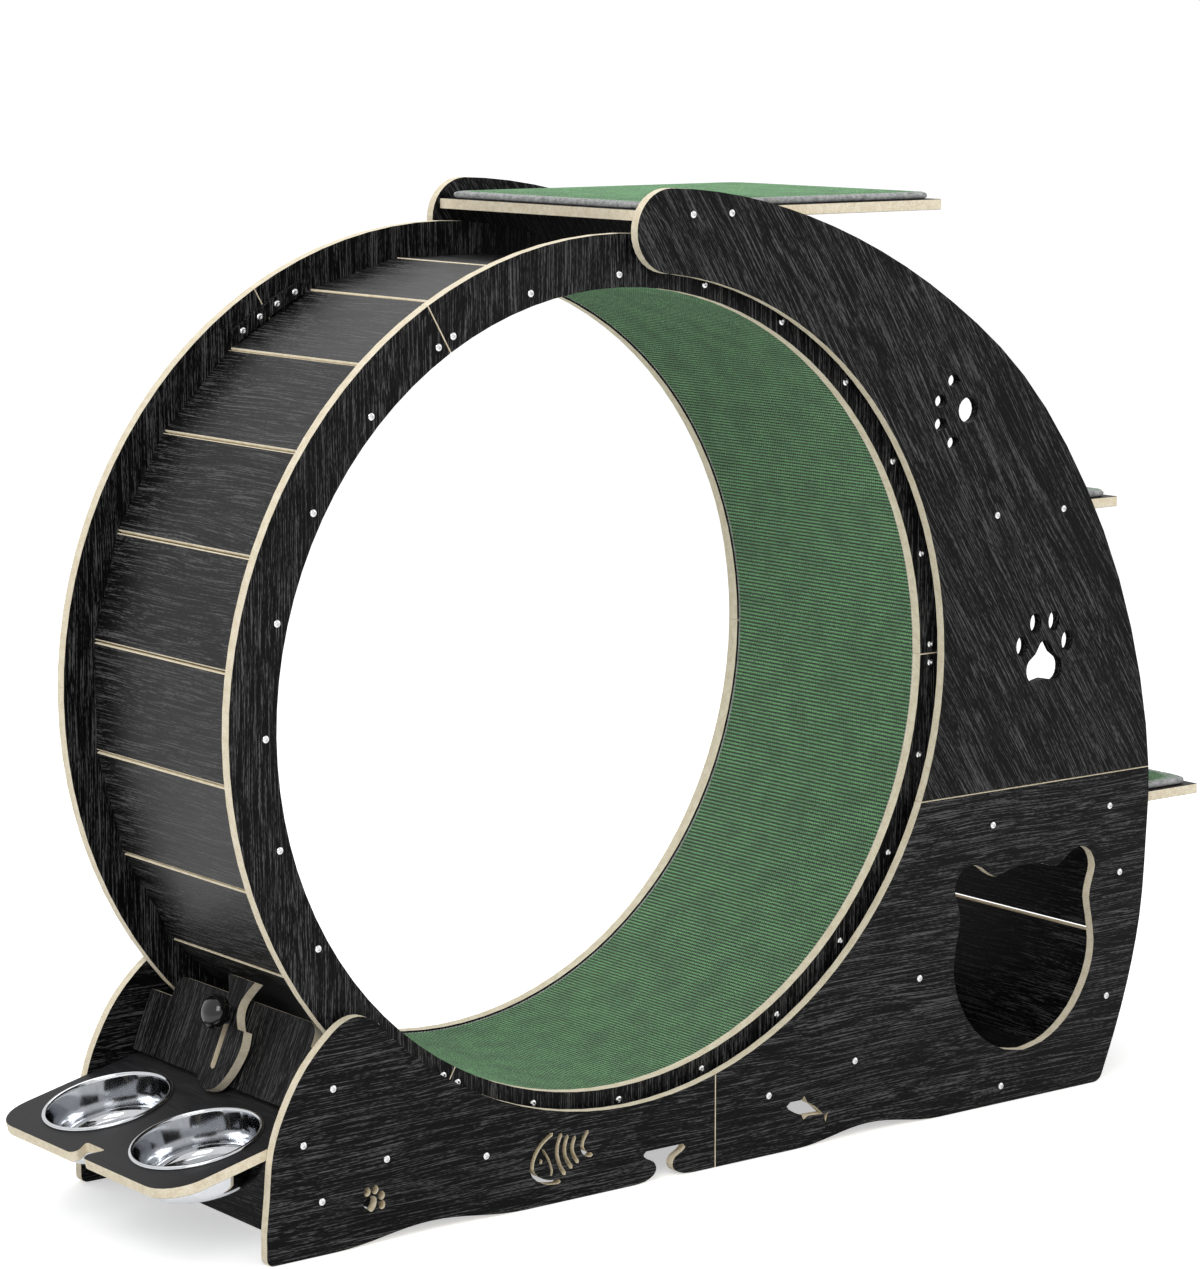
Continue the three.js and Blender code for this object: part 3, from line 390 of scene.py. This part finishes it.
def moulded(name, tone, roughness, depth):
    """Moulded plastic or rubber with a fine grain of this depth."""
    material, graph, shader = finish(name, roughness)
    cloud = graph.noise(object_place(graph), 420, 2.0, 0.6)
    lighter = [c + 9 for c in tone]
    graph.feed(shader.inputs["Base Color"], graph.mix(cloud, colour(*tone), colour(*lighter)))
    worn = graph.stretch(cloud, 0.3, 0.7, roughness * 0.85, roughness * 1.2)
    graph.feed(shader.inputs["Roughness"], worn)
    raise_surface(graph, shader, cloud, depth, 0.5)
    return material


ASH_LEVEL = black_ash("Black ash, grain level along the stand")
ASH_UPRIGHT = black_ash("Black ash, grain upright", (0, -90, 0))
ASH_ACROSS = black_ash("Black ash, grain across the stand", (0, 0, 90))
ASH_SLANTING = black_ash("Black ash, grain slanting down to the rear", (0, 58, 0))
ASH_SLATS = black_ash("Black ash of the slats, with a satin sheen", (0, 0, 90), 0.25)
PLAIN_BLACK = black_ash(
    "Black laminate of the bowl plate, nearly plain",
    (0, 0, 90),
    0.1,
    Ground=colour(34, 34, 36),
    Line=colour(56, 56, 58),
)
LEAN = joints["lock_slide"]["axis"]
ASH_LEANING = black_ash(
    "Black ash, grain up the leaning board", (0, math.degrees(math.atan2(-LEAN[2], LEAN[0])), 0)
)
RAW_EDGE = fibrous("Raw board edge", colour(206, 192, 163), colour(234, 225, 203), 900, 0.0001, 0.8)
GREY_FELT = fibrous("Grey felt", colour(96, 97, 97), colour(186, 188, 187), 1500, 0.0006, 0.95)
GREEN_PILE = green_pile()
BRIGHT_STEEL = steel("Bright screw steel", (226, 226, 226), 0.16, 0.12)
POLISHED_STEEL = steel("Polished bowl steel", (206, 208, 211), 0.07, 0.02)
ROD_STEEL = steel("Plain rod steel", (170, 172, 174), 0.28, 0.15)
GLOSS_BLACK = moulded("Gloss black knob", (12, 12, 13), 0.12, 0.00002)
BLACK_RUBBER = moulded("Black roller rubber", (26, 26, 27), 0.55, 0.0001)


# ---------- modelling helpers ----------
def only(piece):
    """Selects this object alone and makes it the active one."""
    if bpy.context.object and bpy.context.object.mode != "OBJECT":
        bpy.ops.object.mode_set(mode="OBJECT")
    bpy.ops.object.select_all(action="DESELECT")
    piece.select_set(True)
    bpy.context.view_layer.objects.active = piece
    return piece


def edit(piece):
    """Into edit mode with everything selected."""
    only(piece)
    bpy.ops.object.mode_set(mode="EDIT")
    bpy.ops.mesh.select_all(action="SELECT")


def edit_chosen():
    """Into edit mode with the selection that was made in code."""
    bpy.ops.object.mode_set(mode="EDIT")


def done():
    bpy.ops.object.mode_set(mode="OBJECT")


def face_outwards():
    bpy.ops.mesh.select_all(action="SELECT")
    bpy.ops.mesh.normals_make_consistent(inside=False)
    done()


def modify(piece, kind, **settings):
    """Adds a modifier and applies it."""
    only(piece)
    modifier = piece.modifiers.new(kind.title(), kind)
    for key, value in settings.items():
        setattr(modifier, key, value)
    bpy.ops.object.modifier_apply(modifier=modifier.name)


def place(piece, at=(0, 0, 0), turn=None):
    """Turns and moves a finished piece within its mesh, so that its object stays at the origin."""
    rotation = turn or Quaternion()
    piece.data.transform(Matrix.LocRotScale(Vector(at), rotation, piece.scale))
    piece.location = (0, 0, 0)
    piece.rotation_euler = (0, 0, 0)
    piece.scale = (1, 1, 1)
    return piece


def facing(direction):
    """The turn that brings +Z to this direction."""
    return Vector(direction).to_track_quat("Z", "Y")


def smooth(piece, angle=SMOOTH_ANGLE):
    only(piece)
    bpy.ops.object.shade_smooth_by_angle(angle=angle)
    return piece


def paint(piece, *materials):
    piece.data.materials.clear()
    for material in materials:
        piece.data.materials.append(material)
    return piece


def settle(piece, body, slot, *replaced):
    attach(piece, body)
    if replaced:
        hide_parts(*replaced)
    return piece


def turned(name, profile, sides):
    """A piece turned about Z through these radii and heights. A profile that closes has a bore."""
    (radius, height), *rest = profile
    bpy.ops.object.select_all(action="DESELECT")
    bpy.ops.mesh.primitive_circle_add(vertices=sides, radius=radius, location=(0, 0, height))
    piece = bpy.context.object
    piece.name = name
    place(piece, (0, 0, height))
    edit(piece)
    for next_radius, next_height in rest:
        bpy.ops.mesh.extrude_edges_move()
        share = next_radius / radius
        bpy.ops.transform.resize(value=(share, share, 1), center_override=(0, 0, 0))
        bpy.ops.transform.translate(value=(0, 0, next_height - height))
        radius, height = next_radius, next_height
    bpy.ops.mesh.select_all(action="SELECT")
    bpy.ops.mesh.remove_doubles(threshold=MERGE)
    bpy.ops.mesh.fill_holes(sides=0)
    face_outwards()
    return piece


def curve_through(points, radius, steps):
    """Rounds the inner corners of a profile by this radius, with this many steps on each."""
    rounded = [points[0]]
    for before, here, after in zip(points, points[1:], points[2:]):
        corner = Vector(here)
        back, onwards = Vector(before) - corner, Vector(after) - corner
        reach = min(radius, back.length * 0.45, onwards.length * 0.45)
        first, last = corner + back.normalized() * reach, corner + onwards.normalized() * reach
        for i in range(steps + 1):
            t = i / steps
            rounded.append(tuple(first * (1 - t) ** 2 + corner * 2 * t * (1 - t) + last * t * t))
    return rounded + [points[-1]]


# ---------- boards ----------
def board_copy(node, name):
    """The CAD board as one clean mesh: doubles merged, flat faces whole."""
    piece = bpy.data.objects.new(name, nodes[node].data.copy())
    bpy.context.scene.collection.objects.link(piece)
    edit(piece)
    bpy.ops.mesh.customdata_custom_splitnormals_clear()
    bpy.ops.mesh.remove_doubles(threshold=MERGE)
    bpy.ops.mesh.dissolve_limited(angle_limit=radians(0.3))
    done()
    return piece


def break_edges(piece, seam, seam_break):
    """Chamfers the sawn edges, wider along a seam between two boards."""
    mesh = piece.data
    mesh.attributes.new("bevel_weight_edge", "FLOAT", "EDGE")
    weights = mesh.attributes["bevel_weight_edge"].data
    for edge in mesh.edges:
        middle = (mesh.vertices[edge.vertices[0]].co + mesh.vertices[edge.vertices[1]].co) / 2
        weights[edge.index].value = 1.0 if seam(middle) else EDGE_BREAK / seam_break
    flat_edges = {key for key, angle in edge_angles(mesh).items() if angle < radians(40)}
    for edge in mesh.edges:
        if edge.key in flat_edges:
            weights[edge.index].value = 0.0
    modify(piece, "BEVEL", width=seam_break, segments=1, limit_method="WEIGHT", use_clamp_overlap=False)


def edge_angles(mesh):
    """The angle between the two faces at each edge."""
    faces = {}
    for polygon in mesh.polygons:
        for key in polygon.edge_keys:
            faces.setdefault(key, []).append(polygon.normal)
    return {key: pair[0].angle(pair[1]) for key, pair in faces.items() if len(pair) == 2}


def nowhere(_):
    return False


def in_paw(point):
    """Whether a point lies in one of the two large cut-out paws of the arch, whose walls are black."""
    from_wheel = (point.x - AXIS.x, point.z - AXIS.z)
    return any(math.dist(from_wheel, middle) < PAW_REACH for middle in ARCH_PAWS)


def board(
    node, body, grain, seam=nowhere, edge=RAW_EDGE, across_at=None, seam_break=SEAM_BREAK, black=nowhere
):
    """A CAD board in black ash with raw edges, seams where it meets its neighbours and some black walls.

    Its thickness runs along the normal of its largest face, unless across_at gives it for each point.
    """
    piece = board_copy(node, f"{node}_board")
    largest = max(piece.data.polygons, key=lambda polygon: polygon.area).normal.copy()
    break_edges(piece, seam, seam_break)
    for polygon in piece.data.polygons:
        across = across_at(polygon.center) if across_at else largest
        facing_across = abs(polygon.normal.dot(across))
        broad = facing_across > 0.9 or (facing_across > 0.3 and not seam(polygon.center))
        polygon.material_index = 0 if broad or black(polygon.center) else 1
    paint_keeping_faces(piece, grain, edge)
    smooth(piece)
    return settle(piece, body, "black_board", node)


def paint_keeping_faces(piece, *materials):
    """Gives a piece its materials and leaves the faces' choice of them."""
    chosen = [polygon.material_index for polygon in piece.data.polygons]
    paint(piece, *materials)
    for polygon, index in zip(piece.data.polygons, chosen):
        polygon.material_index = index


def angle_round_axis(point):
    return math.atan2(point.z - AXIS.z, point.x - AXIS.x)


def ring_seam(point):
    angle = math.degrees(angle_round_axis(point)) % 360
    return min(abs((angle - seam + 180) % 360 - 180) for seam in RING_SEAMS) < RING_SEAM_REACH


def slat_seam(point):
    return math.hypot(point.x - AXIS.x, point.z - AXIS.z) > SLAT_CORNER_RADIUS


SEAM_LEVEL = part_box("near_arch_panel")[0].z
SEAM_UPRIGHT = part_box("near_rear_base_panel")[0].x


def panel_seam(point):
    upright = abs(point.x - SEAM_UPRIGHT) < PANEL_SEAM_REACH and point.z < SEAM_LEVEL
    return upright or abs(point.z - SEAM_LEVEL) < PANEL_SEAM_REACH


def radial(point):
    """Outward from the wheel's axis, square to the slat that this point lies on."""
    middle = round(math.degrees(angle_round_axis(point)) / SLAT_STEP) * SLAT_STEP
    return Vector((cos(radians(middle)), 0, sin(radians(middle))))


def make_wheel_boards():
    for side in ("near", "far"):
        for i in (1, 2, 3):
            board(f"{side}_ring_{i}", "wheel", ASH_UPRIGHT, ring_seam)
            board(f"{side}_ring_joiner_{i}", "wheel", ASH_UPRIGHT, edge=ASH_UPRIGHT)
    for i in range(1, 13):
        board(f"slats_{i:02d}", "wheel", ASH_SLATS, slat_seam, RAW_EDGE, radial, SLAT_BREAK)


BOARDS_ACROSS_THE_STAND = (
    "top_platform",
    "upper_step",
    "lower_step",
    "house_floor",
    "front_tie_board",
    "rear_tie_board",
    "front_beam",
    "house_front_wall",
    "house_back_lower",
    "house_back_upper",
)


def make_stand_boards():
    for side in ("near", "far"):
        board(f"{side}_front_base_panel", "stand", ASH_LEVEL, panel_seam)
        board(f"{side}_rear_base_panel", "stand", ASH_LEVEL, panel_seam)
        board(f"{side}_arch_panel", "stand", ASH_SLANTING, panel_seam, black=in_paw)
        board(f"{side}_base_joiner", "stand", ASH_LEVEL, edge=ASH_LEVEL)
        board(f"{side}_arch_joiner", "stand", ASH_LEVEL, edge=ASH_LEVEL)
    for node in BOARDS_ACROSS_THE_STAND:
        board(node, "stand", ASH_ACROSS)
    board("bowl_plate", "stand", PLAIN_BLACK)
    board("leaning_board", "stand", ASH_LEANING)
    board("lock_lever", "lock_lever", ASH_LEANING)


# ---------- screws ----------
def make_screw_head():
    """A low domed head with a six-sided socket."""
    dome = [
        (SCREW_RADIUS, 0.0),
        (SCREW_RADIUS, SCREW_HEIGHT * 0.25),
        (SCREW_RADIUS * 0.93, SCREW_HEIGHT * 0.6),
        (SCREW_RADIUS * 0.74, SCREW_HEIGHT * 0.88),
        (SCREW_RADIUS * 0.5, SCREW_HEIGHT),
        (SCREW_RADIUS * 0.46, SCREW_HEIGHT),
        (SCREW_RADIUS * 0.45, SCREW_HEIGHT * 0.3),
    ]
    sides = 18
    head = turned("screw_head", dome, sides)
    socket_ring = 5
    corner = cos(pi / 18) / cos(pi / 6)  # corner of the socket over the points between its corners
    for vertex in head.data.vertices:
        ring, step = divmod(vertex.index, sides)
        if ring >= socket_ring and step % 3 == 0:
            vertex.co.x *= corner
            vertex.co.y *= corner
    smooth(paint(head, BRIGHT_STEEL))
    return head


def spread(name, template, places, body, slot):
    """Copies of a template at these points and directions, joined into one piece."""
    parts = []
    for at, direction in places:
        part = bpy.data.objects.new(f"{name}_{len(parts)}", template.data.copy())
        bpy.context.scene.collection.objects.link(part)
        place(part, at, facing(direction))
        parts.append(part)
    bpy.ops.object.select_all(action="DESELECT")
    for part in parts:
        part.select_set(True)
    bpy.context.view_layer.objects.active = parts[0]
    bpy.ops.object.join()
    parts[0].name = name
    return settle(parts[0], body, slot)


def around_wheel(radius, degrees, y):
    return Vector((AXIS.x + radius * cos(radians(degrees)), y, AXIS.z + radius * sin(radians(degrees))))


def outer_face(node, out):
    """Where a board's face lies that looks towards -Y or +Y."""
    low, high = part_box(node)
    return low.y if out < 0 else high.y


def make_screws():
    head = make_screw_head()
    ring_angles = []
    for k in range(360 // SLAT_STEP):
        angle = k * SLAT_STEP
        at_seam = angle in RING_SEAMS
        ring_angles += [angle - RING_SEAM_SPREAD, angle + RING_SEAM_SPREAD] if at_seam else [angle]
    joiner_angles = [seam + offset for seam in RING_SEAMS for offset in JOINER_SCREW_ANGLES]
    for side, out in (("near", -1), ("far", 1)):
        face = outer_face(f"{side}_arch_panel", out)
        places = [((AXIS.x + x, face, z), (0, out, 0)) for x, z in PANEL_SCREWS]
        spread(f"{side}_panel_screws", head, places, "stand", "axle_steel")
        face = outer_face(f"{side}_ring_1", out)
        places = [(around_wheel(RING_SCREW_RADIUS, angle, face), (0, out, 0)) for angle in ring_angles]
        spread(f"{side}_ring_screws", head, places, "wheel", "axle_steel")
        face = outer_face(f"{side}_ring_joiner_1", -out)
        places = [(around_wheel(JOINER_SCREW_RADIUS, angle, face), (0, -out, 0)) for angle in joiner_angles]
        spread(f"{side}_joiner_screws", head, places, "wheel", "axle_steel")
    bpy.data.objects.remove(head)


# ---------- running carpet ----------
def add_pile_map(piece, place_of):
    """A UV map in metres, X across the rows of loops and Y along them."""
    layer = piece.data.uv_layers.new(name="pile")
    for polygon in piece.data.polygons:
        for index in polygon.loop_indices:
            vertex = piece.data.vertices[piece.data.loops[index].vertex_index].co
            layer.data[index].uv = place_of(vertex, polygon.center)


def make_running_carpet():
    """One long ribbed carpet round the inside of the slats, with a grey edge where its backing turns up."""
    low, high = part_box("running_carpet")
    radius = (high.x - low.x) / 2
    inner = radius * cos(radians(SLAT_STEP / 2)) - CARPET_SEAT + CARPET_RIB
    width = high.y - low.y
    rows = round(tau * inner / CARPET_ROW)
    bpy.ops.object.select_all(action="DESELECT")
    bpy.ops.mesh.primitive_cylinder_add(
        vertices=rows * 4, radius=inner, depth=width, end_fill_type="NOTHING", rotation=(pi / 2, 0, 0)
    )
    piece = bpy.context.object
    piece.name = "green_running_carpet"
    place(piece, AXIS, piece.rotation_euler.to_quaternion())
    for phase, depth in ((1, 0.75), (2, 1.0), (3, 0.75)):
        edit(piece)
        bpy.ops.mesh.select_all(action="DESELECT")
        done()
        for vertex in piece.data.vertices:
            step = round(angle_round_axis(vertex.co) % tau / tau * rows * 4)
            vertex.select = step % 4 == phase
        edit_chosen()
        share = 1 - CARPET_RIB * depth / inner
        bpy.ops.transform.resize(value=(share, 1, share), center_override=AXIS)
        done()
    edit(piece)
    for y in (low.y + CARPET_BORDER, high.y - CARPET_BORDER):
        bpy.ops.mesh.select_all(action="SELECT")
        bpy.ops.mesh.bisect(plane_co=(0, y, 0), plane_no=(0, 1, 0))
    bpy.ops.mesh.select_all(action="SELECT")
    bpy.ops.mesh.normals_make_consistent(inside=True)
    done()
    modify(piece, "SOLIDIFY", thickness=CARPET_BACKING, offset=-1)
    for polygon in piece.data.polygons:
        middle = polygon.center
        inward = polygon.normal.dot(Vector((AXIS.x, middle.y, AXIS.z)) - middle) > 0.3 * inner
        on_border = abs(middle.y) > high.y - CARPET_BORDER
        polygon.material_index = 0 if inward and not on_border else 1
    paint_keeping_faces(piece, GREEN_PILE, GREY_FELT)

    def unrolled(vertex, centre):
        turn = angle_round_axis(vertex)
        turn += tau * round((angle_round_axis(centre) - turn) / tau)
        return (turn * rows * CARPET_ROW / tau, vertex.y)

    add_pile_map(piece, unrolled)
    smooth(piece, radians(70))
    settle(piece, "wheel", "running_turf", "running_carpet")


# ---------- pads ----------
def make_pad(node):
    """A felt pad with a green pile let in on top."""
    low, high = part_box(node)
    size = high - low
    middle = (low + high) / 2
    height = size.z - PAD_CROWN - PILE_STANDS_PROUD
    bpy.ops.object.select_all(action="DESELECT")
    bpy.ops.mesh.primitive_cube_add(size=1, location=(0, 0, 0))
    pad = bpy.context.object
    pad.name = f"{node}_felt"
    pad.scale = (size.x - 2 * PAD_SWELL, size.y - 2 * PAD_SWELL, height)
    place(pad, (middle.x, middle.y, low.z + height / 2))
    edit(pad)
    bpy.ops.mesh.select_mode(type="EDGE")
    bpy.ops.mesh.select_all(action="DESELECT")
    done()
    for edge in pad.data.edges:
        ends = [pad.data.vertices[i].co for i in edge.vertices]
        edge.select = abs(ends[0].z - ends[1].z) > height / 2
    edit_chosen()
    bpy.ops.mesh.bevel(offset=PAD_CORNER, segments=8)
    bpy.ops.mesh.select_mode(type="VERT")
    done()
    modify(pad, "BEVEL", width=height * 0.42, segments=5, limit_method="ANGLE", angle_limit=radians(60))
    swell(pad, low.z)
    smooth(paint(pad, GREY_FELT), radians(60))
    settle(pad, "stand", "pad_felt", node)
    make_pile_top(node, low, high)


def swell(pad, floor):
    """Lets the felt swell under its own stuffing, by no more than PAD_SWELL, and stay flat on its board."""
    modify(pad, "REMESH", mode="VOXEL", voxel_size=PAD_VOXEL, use_smooth_shade=True)
    before = [vertex.co.copy() for vertex in pad.data.vertices]
    only(pad)
    cloth = pad.modifiers.new("Cloth", "CLOTH")
    cloth.settings.quality = 4
    cloth.settings.mass = 0.3
    cloth.settings.use_pressure = True
    cloth.settings.uniform_pressure_force = 4
    cloth.settings.effector_weights.gravity = 0
    scene = bpy.context.scene
    for step in range(1, PAD_SWELL_FRAMES + 1):
        scene.frame_set(step)
    bpy.ops.object.modifier_apply(modifier="Cloth")
    scene.frame_set(1)
    for vertex, start in zip(pad.data.vertices, before):
        moved = vertex.co - start
        if moved.length > PAD_SWELL:
            moved *= PAD_SWELL / moved.length
        vertex.co = start + moved
        vertex.co.z = max(vertex.co.z, floor)


def make_pile_top(node, low, high):
    """The green carpet on a pad, crowned, with its rows across the stand."""
    size = high - low
    middle = (low + high) / 2
    half = (size.x / 2 - PAD_FELT_EDGE, size.y / 2 - PAD_FELT_EDGE)
    corner = PAD_CORNER - PAD_FELT_EDGE
    columns = round(2 * half[0] / CARPET_ROW) * 4
    bpy.ops.object.select_all(action="DESELECT")
    bpy.ops.mesh.primitive_grid_add(x_subdivisions=columns, y_subdivisions=40, size=1)
    top = bpy.context.object
    top.name = f"{node}_pile"
    top.scale = (2 * half[0], 2 * half[1], 1)
    place(top, (middle.x, middle.y, high.z))
    for vertex in top.data.vertices:
        offset = [vertex.co.x - middle.x, vertex.co.y - middle.y]
        over = [abs(offset[i]) - (half[i] - corner) for i in (0, 1)]
        if min(over) > 0 and math.hypot(*over) > corner:
            share = corner / math.hypot(*over)
            vertex.co.x = middle.x + math.copysign(half[0] - corner + over[0] * share, offset[0])
            vertex.co.y = middle.y + math.copysign(half[1] - corner + over[1] * share, offset[1])
        reach = [min(1.0, (half[i] - abs(vertex.co[i] - middle[i])) / PAD_SLOPE) for i in (0, 1)]
        rise = sin(pi / 2 * reach[0]) * sin(pi / 2 * reach[1])
        row = (vertex.co.x - low.x) / CARPET_ROW
        rib = CARPET_RIB * 0.7 * (1 - sin(pi * (row % 1)))
        vertex.co.z = high.z - PAD_CROWN * (1 - rise) - rib
    edit(top)
    face_outwards()
    modify(top, "SOLIDIFY", thickness=PILE_THICKNESS, offset=-1)
    add_pile_map(top, lambda vertex, _: (vertex.x - low.x, vertex.y))
    smooth(paint(top, GREEN_PILE), radians(70))
    settle(top, "stand", "running_turf")


# ---------- bowls ----------
def make_bowls():
    for side in ("near", "far"):
        node = f"{side}_bowl"
        low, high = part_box(node)
        up = Vector(joints[f"{side}_bowl_lift"]["axis"]).normalized()
        rim = (high.y - low.y) / 2
        # middle of the rim's top: the node's box is that of a tilted cup
        centre = Vector(((low.x + high.x) / 2, (low.y + high.y) / 2, high.z - rim * abs(up.x)))
        outside = [(0.030, 0.0), (BOWL_FLOOR, 0.0), (rim - 0.0054, BOWL_DEPTH - 0.004)]
        roll = [
            (rim - BOWL_LIP * (1 - cos(turn)), BOWL_DEPTH - BOWL_LIP + 0.0004 + BOWL_LIP * sin(turn))
            for turn in (radians(angle) for angle in range(-80, 176, 15))
        ]
        inside = [
            (rim - 2 * BOWL_LIP - 0.0006, BOWL_DEPTH - 0.0046),
            (BOWL_FLOOR - BOWL_WALL, BOWL_WALL),
            (0.0345, BOWL_WALL),
        ]
        ridge = [(0.0335, BOWL_WALL + 0.0007), (0.0325, BOWL_WALL + 0.0007), (0.0315, BOWL_WALL)]
        profile = curve_through(outside, BOWL_ROUND, 8) + roll + curve_through(inside, BOWL_ROUND, 8) + ridge
        bowl = turned(f"{node}_steel", profile, 96)
        place(bowl, centre - up * BOWL_DEPTH, facing(up))
        smooth(paint(bowl, POLISHED_STEEL), radians(40))
        settle(bowl, node, "bowl_steel", node)


# ---------- lock knob, rollers and axles ----------
def make_knob():
    """The knob's head, collar and stud, in one piece turned about the stud."""
    joint = joints["lock_knob_turn"]
    along = Vector(joint["axis"])
    low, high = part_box("lock_knob")
    radius = (high.y - low.y) / 2
    points = [v.co.dot(along) for v in nodes["lock_knob"].data.vertices]
    start, end = min(points), max(points)
    length = end - start
    stud_end = length - KNOB_LENGTH - 0.0001
    face = length - KNOB_HEAD
    profile = [
        (STUD_RADIUS - 0.0009, 0.0),
        (STUD_RADIUS, 0.0012),
        (STUD_RADIUS, stud_end),
        (KNOB_COLLAR_RADIUS, stud_end),
        (KNOB_COLLAR_RADIUS, stud_end + 0.0014),
        (0.0088, stud_end + 0.0016),
        (0.0084, face - 0.0005),
        (radius * 0.70, face),
        (radius * 0.88, face + 0.0004),
        (radius * 0.97, face + 0.0028),
        (radius, face + 0.0066),
        (radius * 0.985, face + 0.0095),
    ]
    for i in range(1, 12):
        angle = radians(80 * i / 11 + 8)
        profile.append((radius * cos(angle), face + KNOB_RIM + (KNOB_HEAD - KNOB_RIM) * sin(angle)))
    profile.append((radius * 0.02, length))
    knob = turned("gloss_knob", profile, 64)
    base = Vector(joint["pos_m"])
    base += along * (start - base.dot(along))
    place(knob, base, facing(along))
    for polygon in knob.data.polygons:
        distance = (polygon.center - base).dot(along)
        polygon.material_index = 1 if distance < stud_end + 0.0015 else 0
    paint_keeping_faces(knob, GLOSS_BLACK, ROD_STEEL)
    smooth(knob, radians(35))
    settle(knob, "lock_knob", "knob_plastic", "lock_knob")


def make_axle(end):
    node = f"{end}_roller_axle"
    low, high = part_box(node)
    radius, half = (high.x - low.x) / 2, (high.y - low.y) / 2
    half_profile = [(radius - AXLE_CHAMFER, -half), (radius, -half + AXLE_CHAMFER)]
    profile = half_profile + [(across, -along) for across, along in reversed(half_profile)]
    rod = turned(f"{end}_axle_rod", profile, 40)
    place(rod, (low + high) / 2, facing((0, 1, 0)))
    smooth(paint(rod, ROD_STEEL))
    settle(rod, "stand", "axle_steel", node)


def make_roller(end, side, out):
    """A flanged roller with a groove for the ring, turned about its bore."""
    node = f"{end}_{side}_roller"
    low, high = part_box(node)
    centre = Vector(joints[f"{node}_spin"]["pos_m"])
    flange = (high.x - low.x) / 2
    rim, dished, tread = flange - 0.0045, flange - 0.006, flange - ROLLER_GROOVE
    inner_end = -abs((high.y if out < 0 else low.y) - centre.y)
    outer_end = abs((low.y if out < 0 else high.y) - centre.y)
    groove = -inner_end - ROLLER_FLANGE
    outside = groove + ROLLER_FLANGE
    profile = [
        (ROLLER_BORE, inner_end + 0.0004),
        (0.0085, inner_end + 0.0004),
        (0.0092, inner_end + ROLLER_DISH),
        (dished, inner_end + ROLLER_DISH),
        (rim, inner_end),
        (flange - ROLLER_EDGE, inner_end),
        (flange, inner_end + ROLLER_EDGE),
        (flange, -groove - ROLLER_EDGE),
        (flange - ROLLER_EDGE, -groove),
        (tread + 0.0006, -groove),
        (tread, -groove + ROLLER_EDGE),
        (tread, groove - ROLLER_EDGE),
        (tread + 0.0006, groove),
        (flange - ROLLER_EDGE, groove),
        (flange, groove + ROLLER_EDGE),
        (flange, outside - ROLLER_EDGE),
        (flange - ROLLER_EDGE, outside),
        (rim, outside),
        (dished, outside - ROLLER_DISH),
        (0.0088, outside - ROLLER_DISH),
        (0.0080, outside - 0.0002),
        (0.0080, outer_end - 0.0006),
        (0.0074, outer_end),
        (ROLLER_BORE, outer_end),
        (ROLLER_BORE, inner_end + 0.0004),
    ]
    roller = turned(f"{node}_wheel", profile, 64)
    place(roller, centre, facing((0, out, 0)))
    smooth(paint(roller, BLACK_RUBBER), radians(35))
    settle(roller, node, "roller_rubber", node)


def make_rollers():
    for end in ("front", "rear"):
        make_axle(end)
        for side, out in (("near", -1), ("far", 1)):
            make_roller(end, side, out)


# ---------- room, light and world ----------
def seen_directly(graph):
    """1 for a ray that shows the surroundings by themselves or in metal, 0 for one that lights the object."""
    ray = graph.add("ShaderNodeLightPath").outputs
    mirrored = graph.math("MAXIMUM", ray["Is Glossy Ray"], ray["Is Transmission Ray"])
    return graph.math("MAXIMUM", ray["Is Camera Ray"], mirrored)


def make_room():
    bpy.ops.object.select_all(action="DESELECT")
    bpy.ops.mesh.primitive_plane_add(size=60, location=(0, 0, FLOOR_LEVEL))
    floor = bpy.context.object
    floor.name = "floor"
    looks = {"Base_Color": (0.9, 0.9, 0.9, 1), "Specular_IOR_Level": 0.1, "Emission_Color": (1, 1, 1, 1)}
    material, graph, shader = finish("White floor", 0.9, **looks)
    graph.feed(shader.inputs["Emission Strength"], graph.math("MULTIPLY", seen_directly(graph), FLOOR_GLOW))
    paint(floor, material)

    world = bpy.data.worlds.new("White studio")
    bpy.context.scene.world = world
    world.use_nodes = True
    tree = world.node_tree
    tree.nodes.clear()
    graph = Graph(tree)
    lit = graph.add("ShaderNodeBackground", {"Color": (1, 1, 1, 1), "Strength": ROOM_LIGHT})
    seen = graph.add("ShaderNodeBackground", {"Color": (1, 1, 1, 1), "Strength": 1.0})
    both = graph.add("ShaderNodeMixShader", {0: seen_directly(graph), 1: lit.outputs[0], 2: seen.outputs[0]})
    graph.add("ShaderNodeOutputWorld", {0: both.outputs[0]})


def soft_lamp(name, at, target, size, power):
    bpy.ops.object.light_add(type="AREA", location=at)
    lamp = bpy.context.object
    lamp.name = name
    lamp.data.shape = "RECTANGLE"
    lamp.data.size, lamp.data.size_y = size
    lamp.data.energy = power
    lamp.rotation_euler = facing(Vector(at) - Vector(target)).to_euler()


def make_lamps():
    soft_lamp("key", (-3.2, -2.6, 3.4), (0, 0, 0.5), (2.4, 2.4), 95)
    soft_lamp("fill", (3.6, -3.4, 2.2), (0, 0, 0.5), (2.6, 2.6), 45)
    soft_lamp("top", (0.2, 1.2, 3.6), (0, 0, 0.4), (3.0, 3.0), 45)


# ---------- the whole ----------
make_camera()
make_room()
make_lamps()
make_wheel_boards()
make_stand_boards()
make_screws()
make_running_carpet()
for pad_node in ("top_platform_pad", "upper_step_pad", "lower_step_pad"):
    make_pad(pad_node)
make_bowls()
make_knob()
make_rollers()
bpy.context.scene.view_settings.view_transform = "Standard"
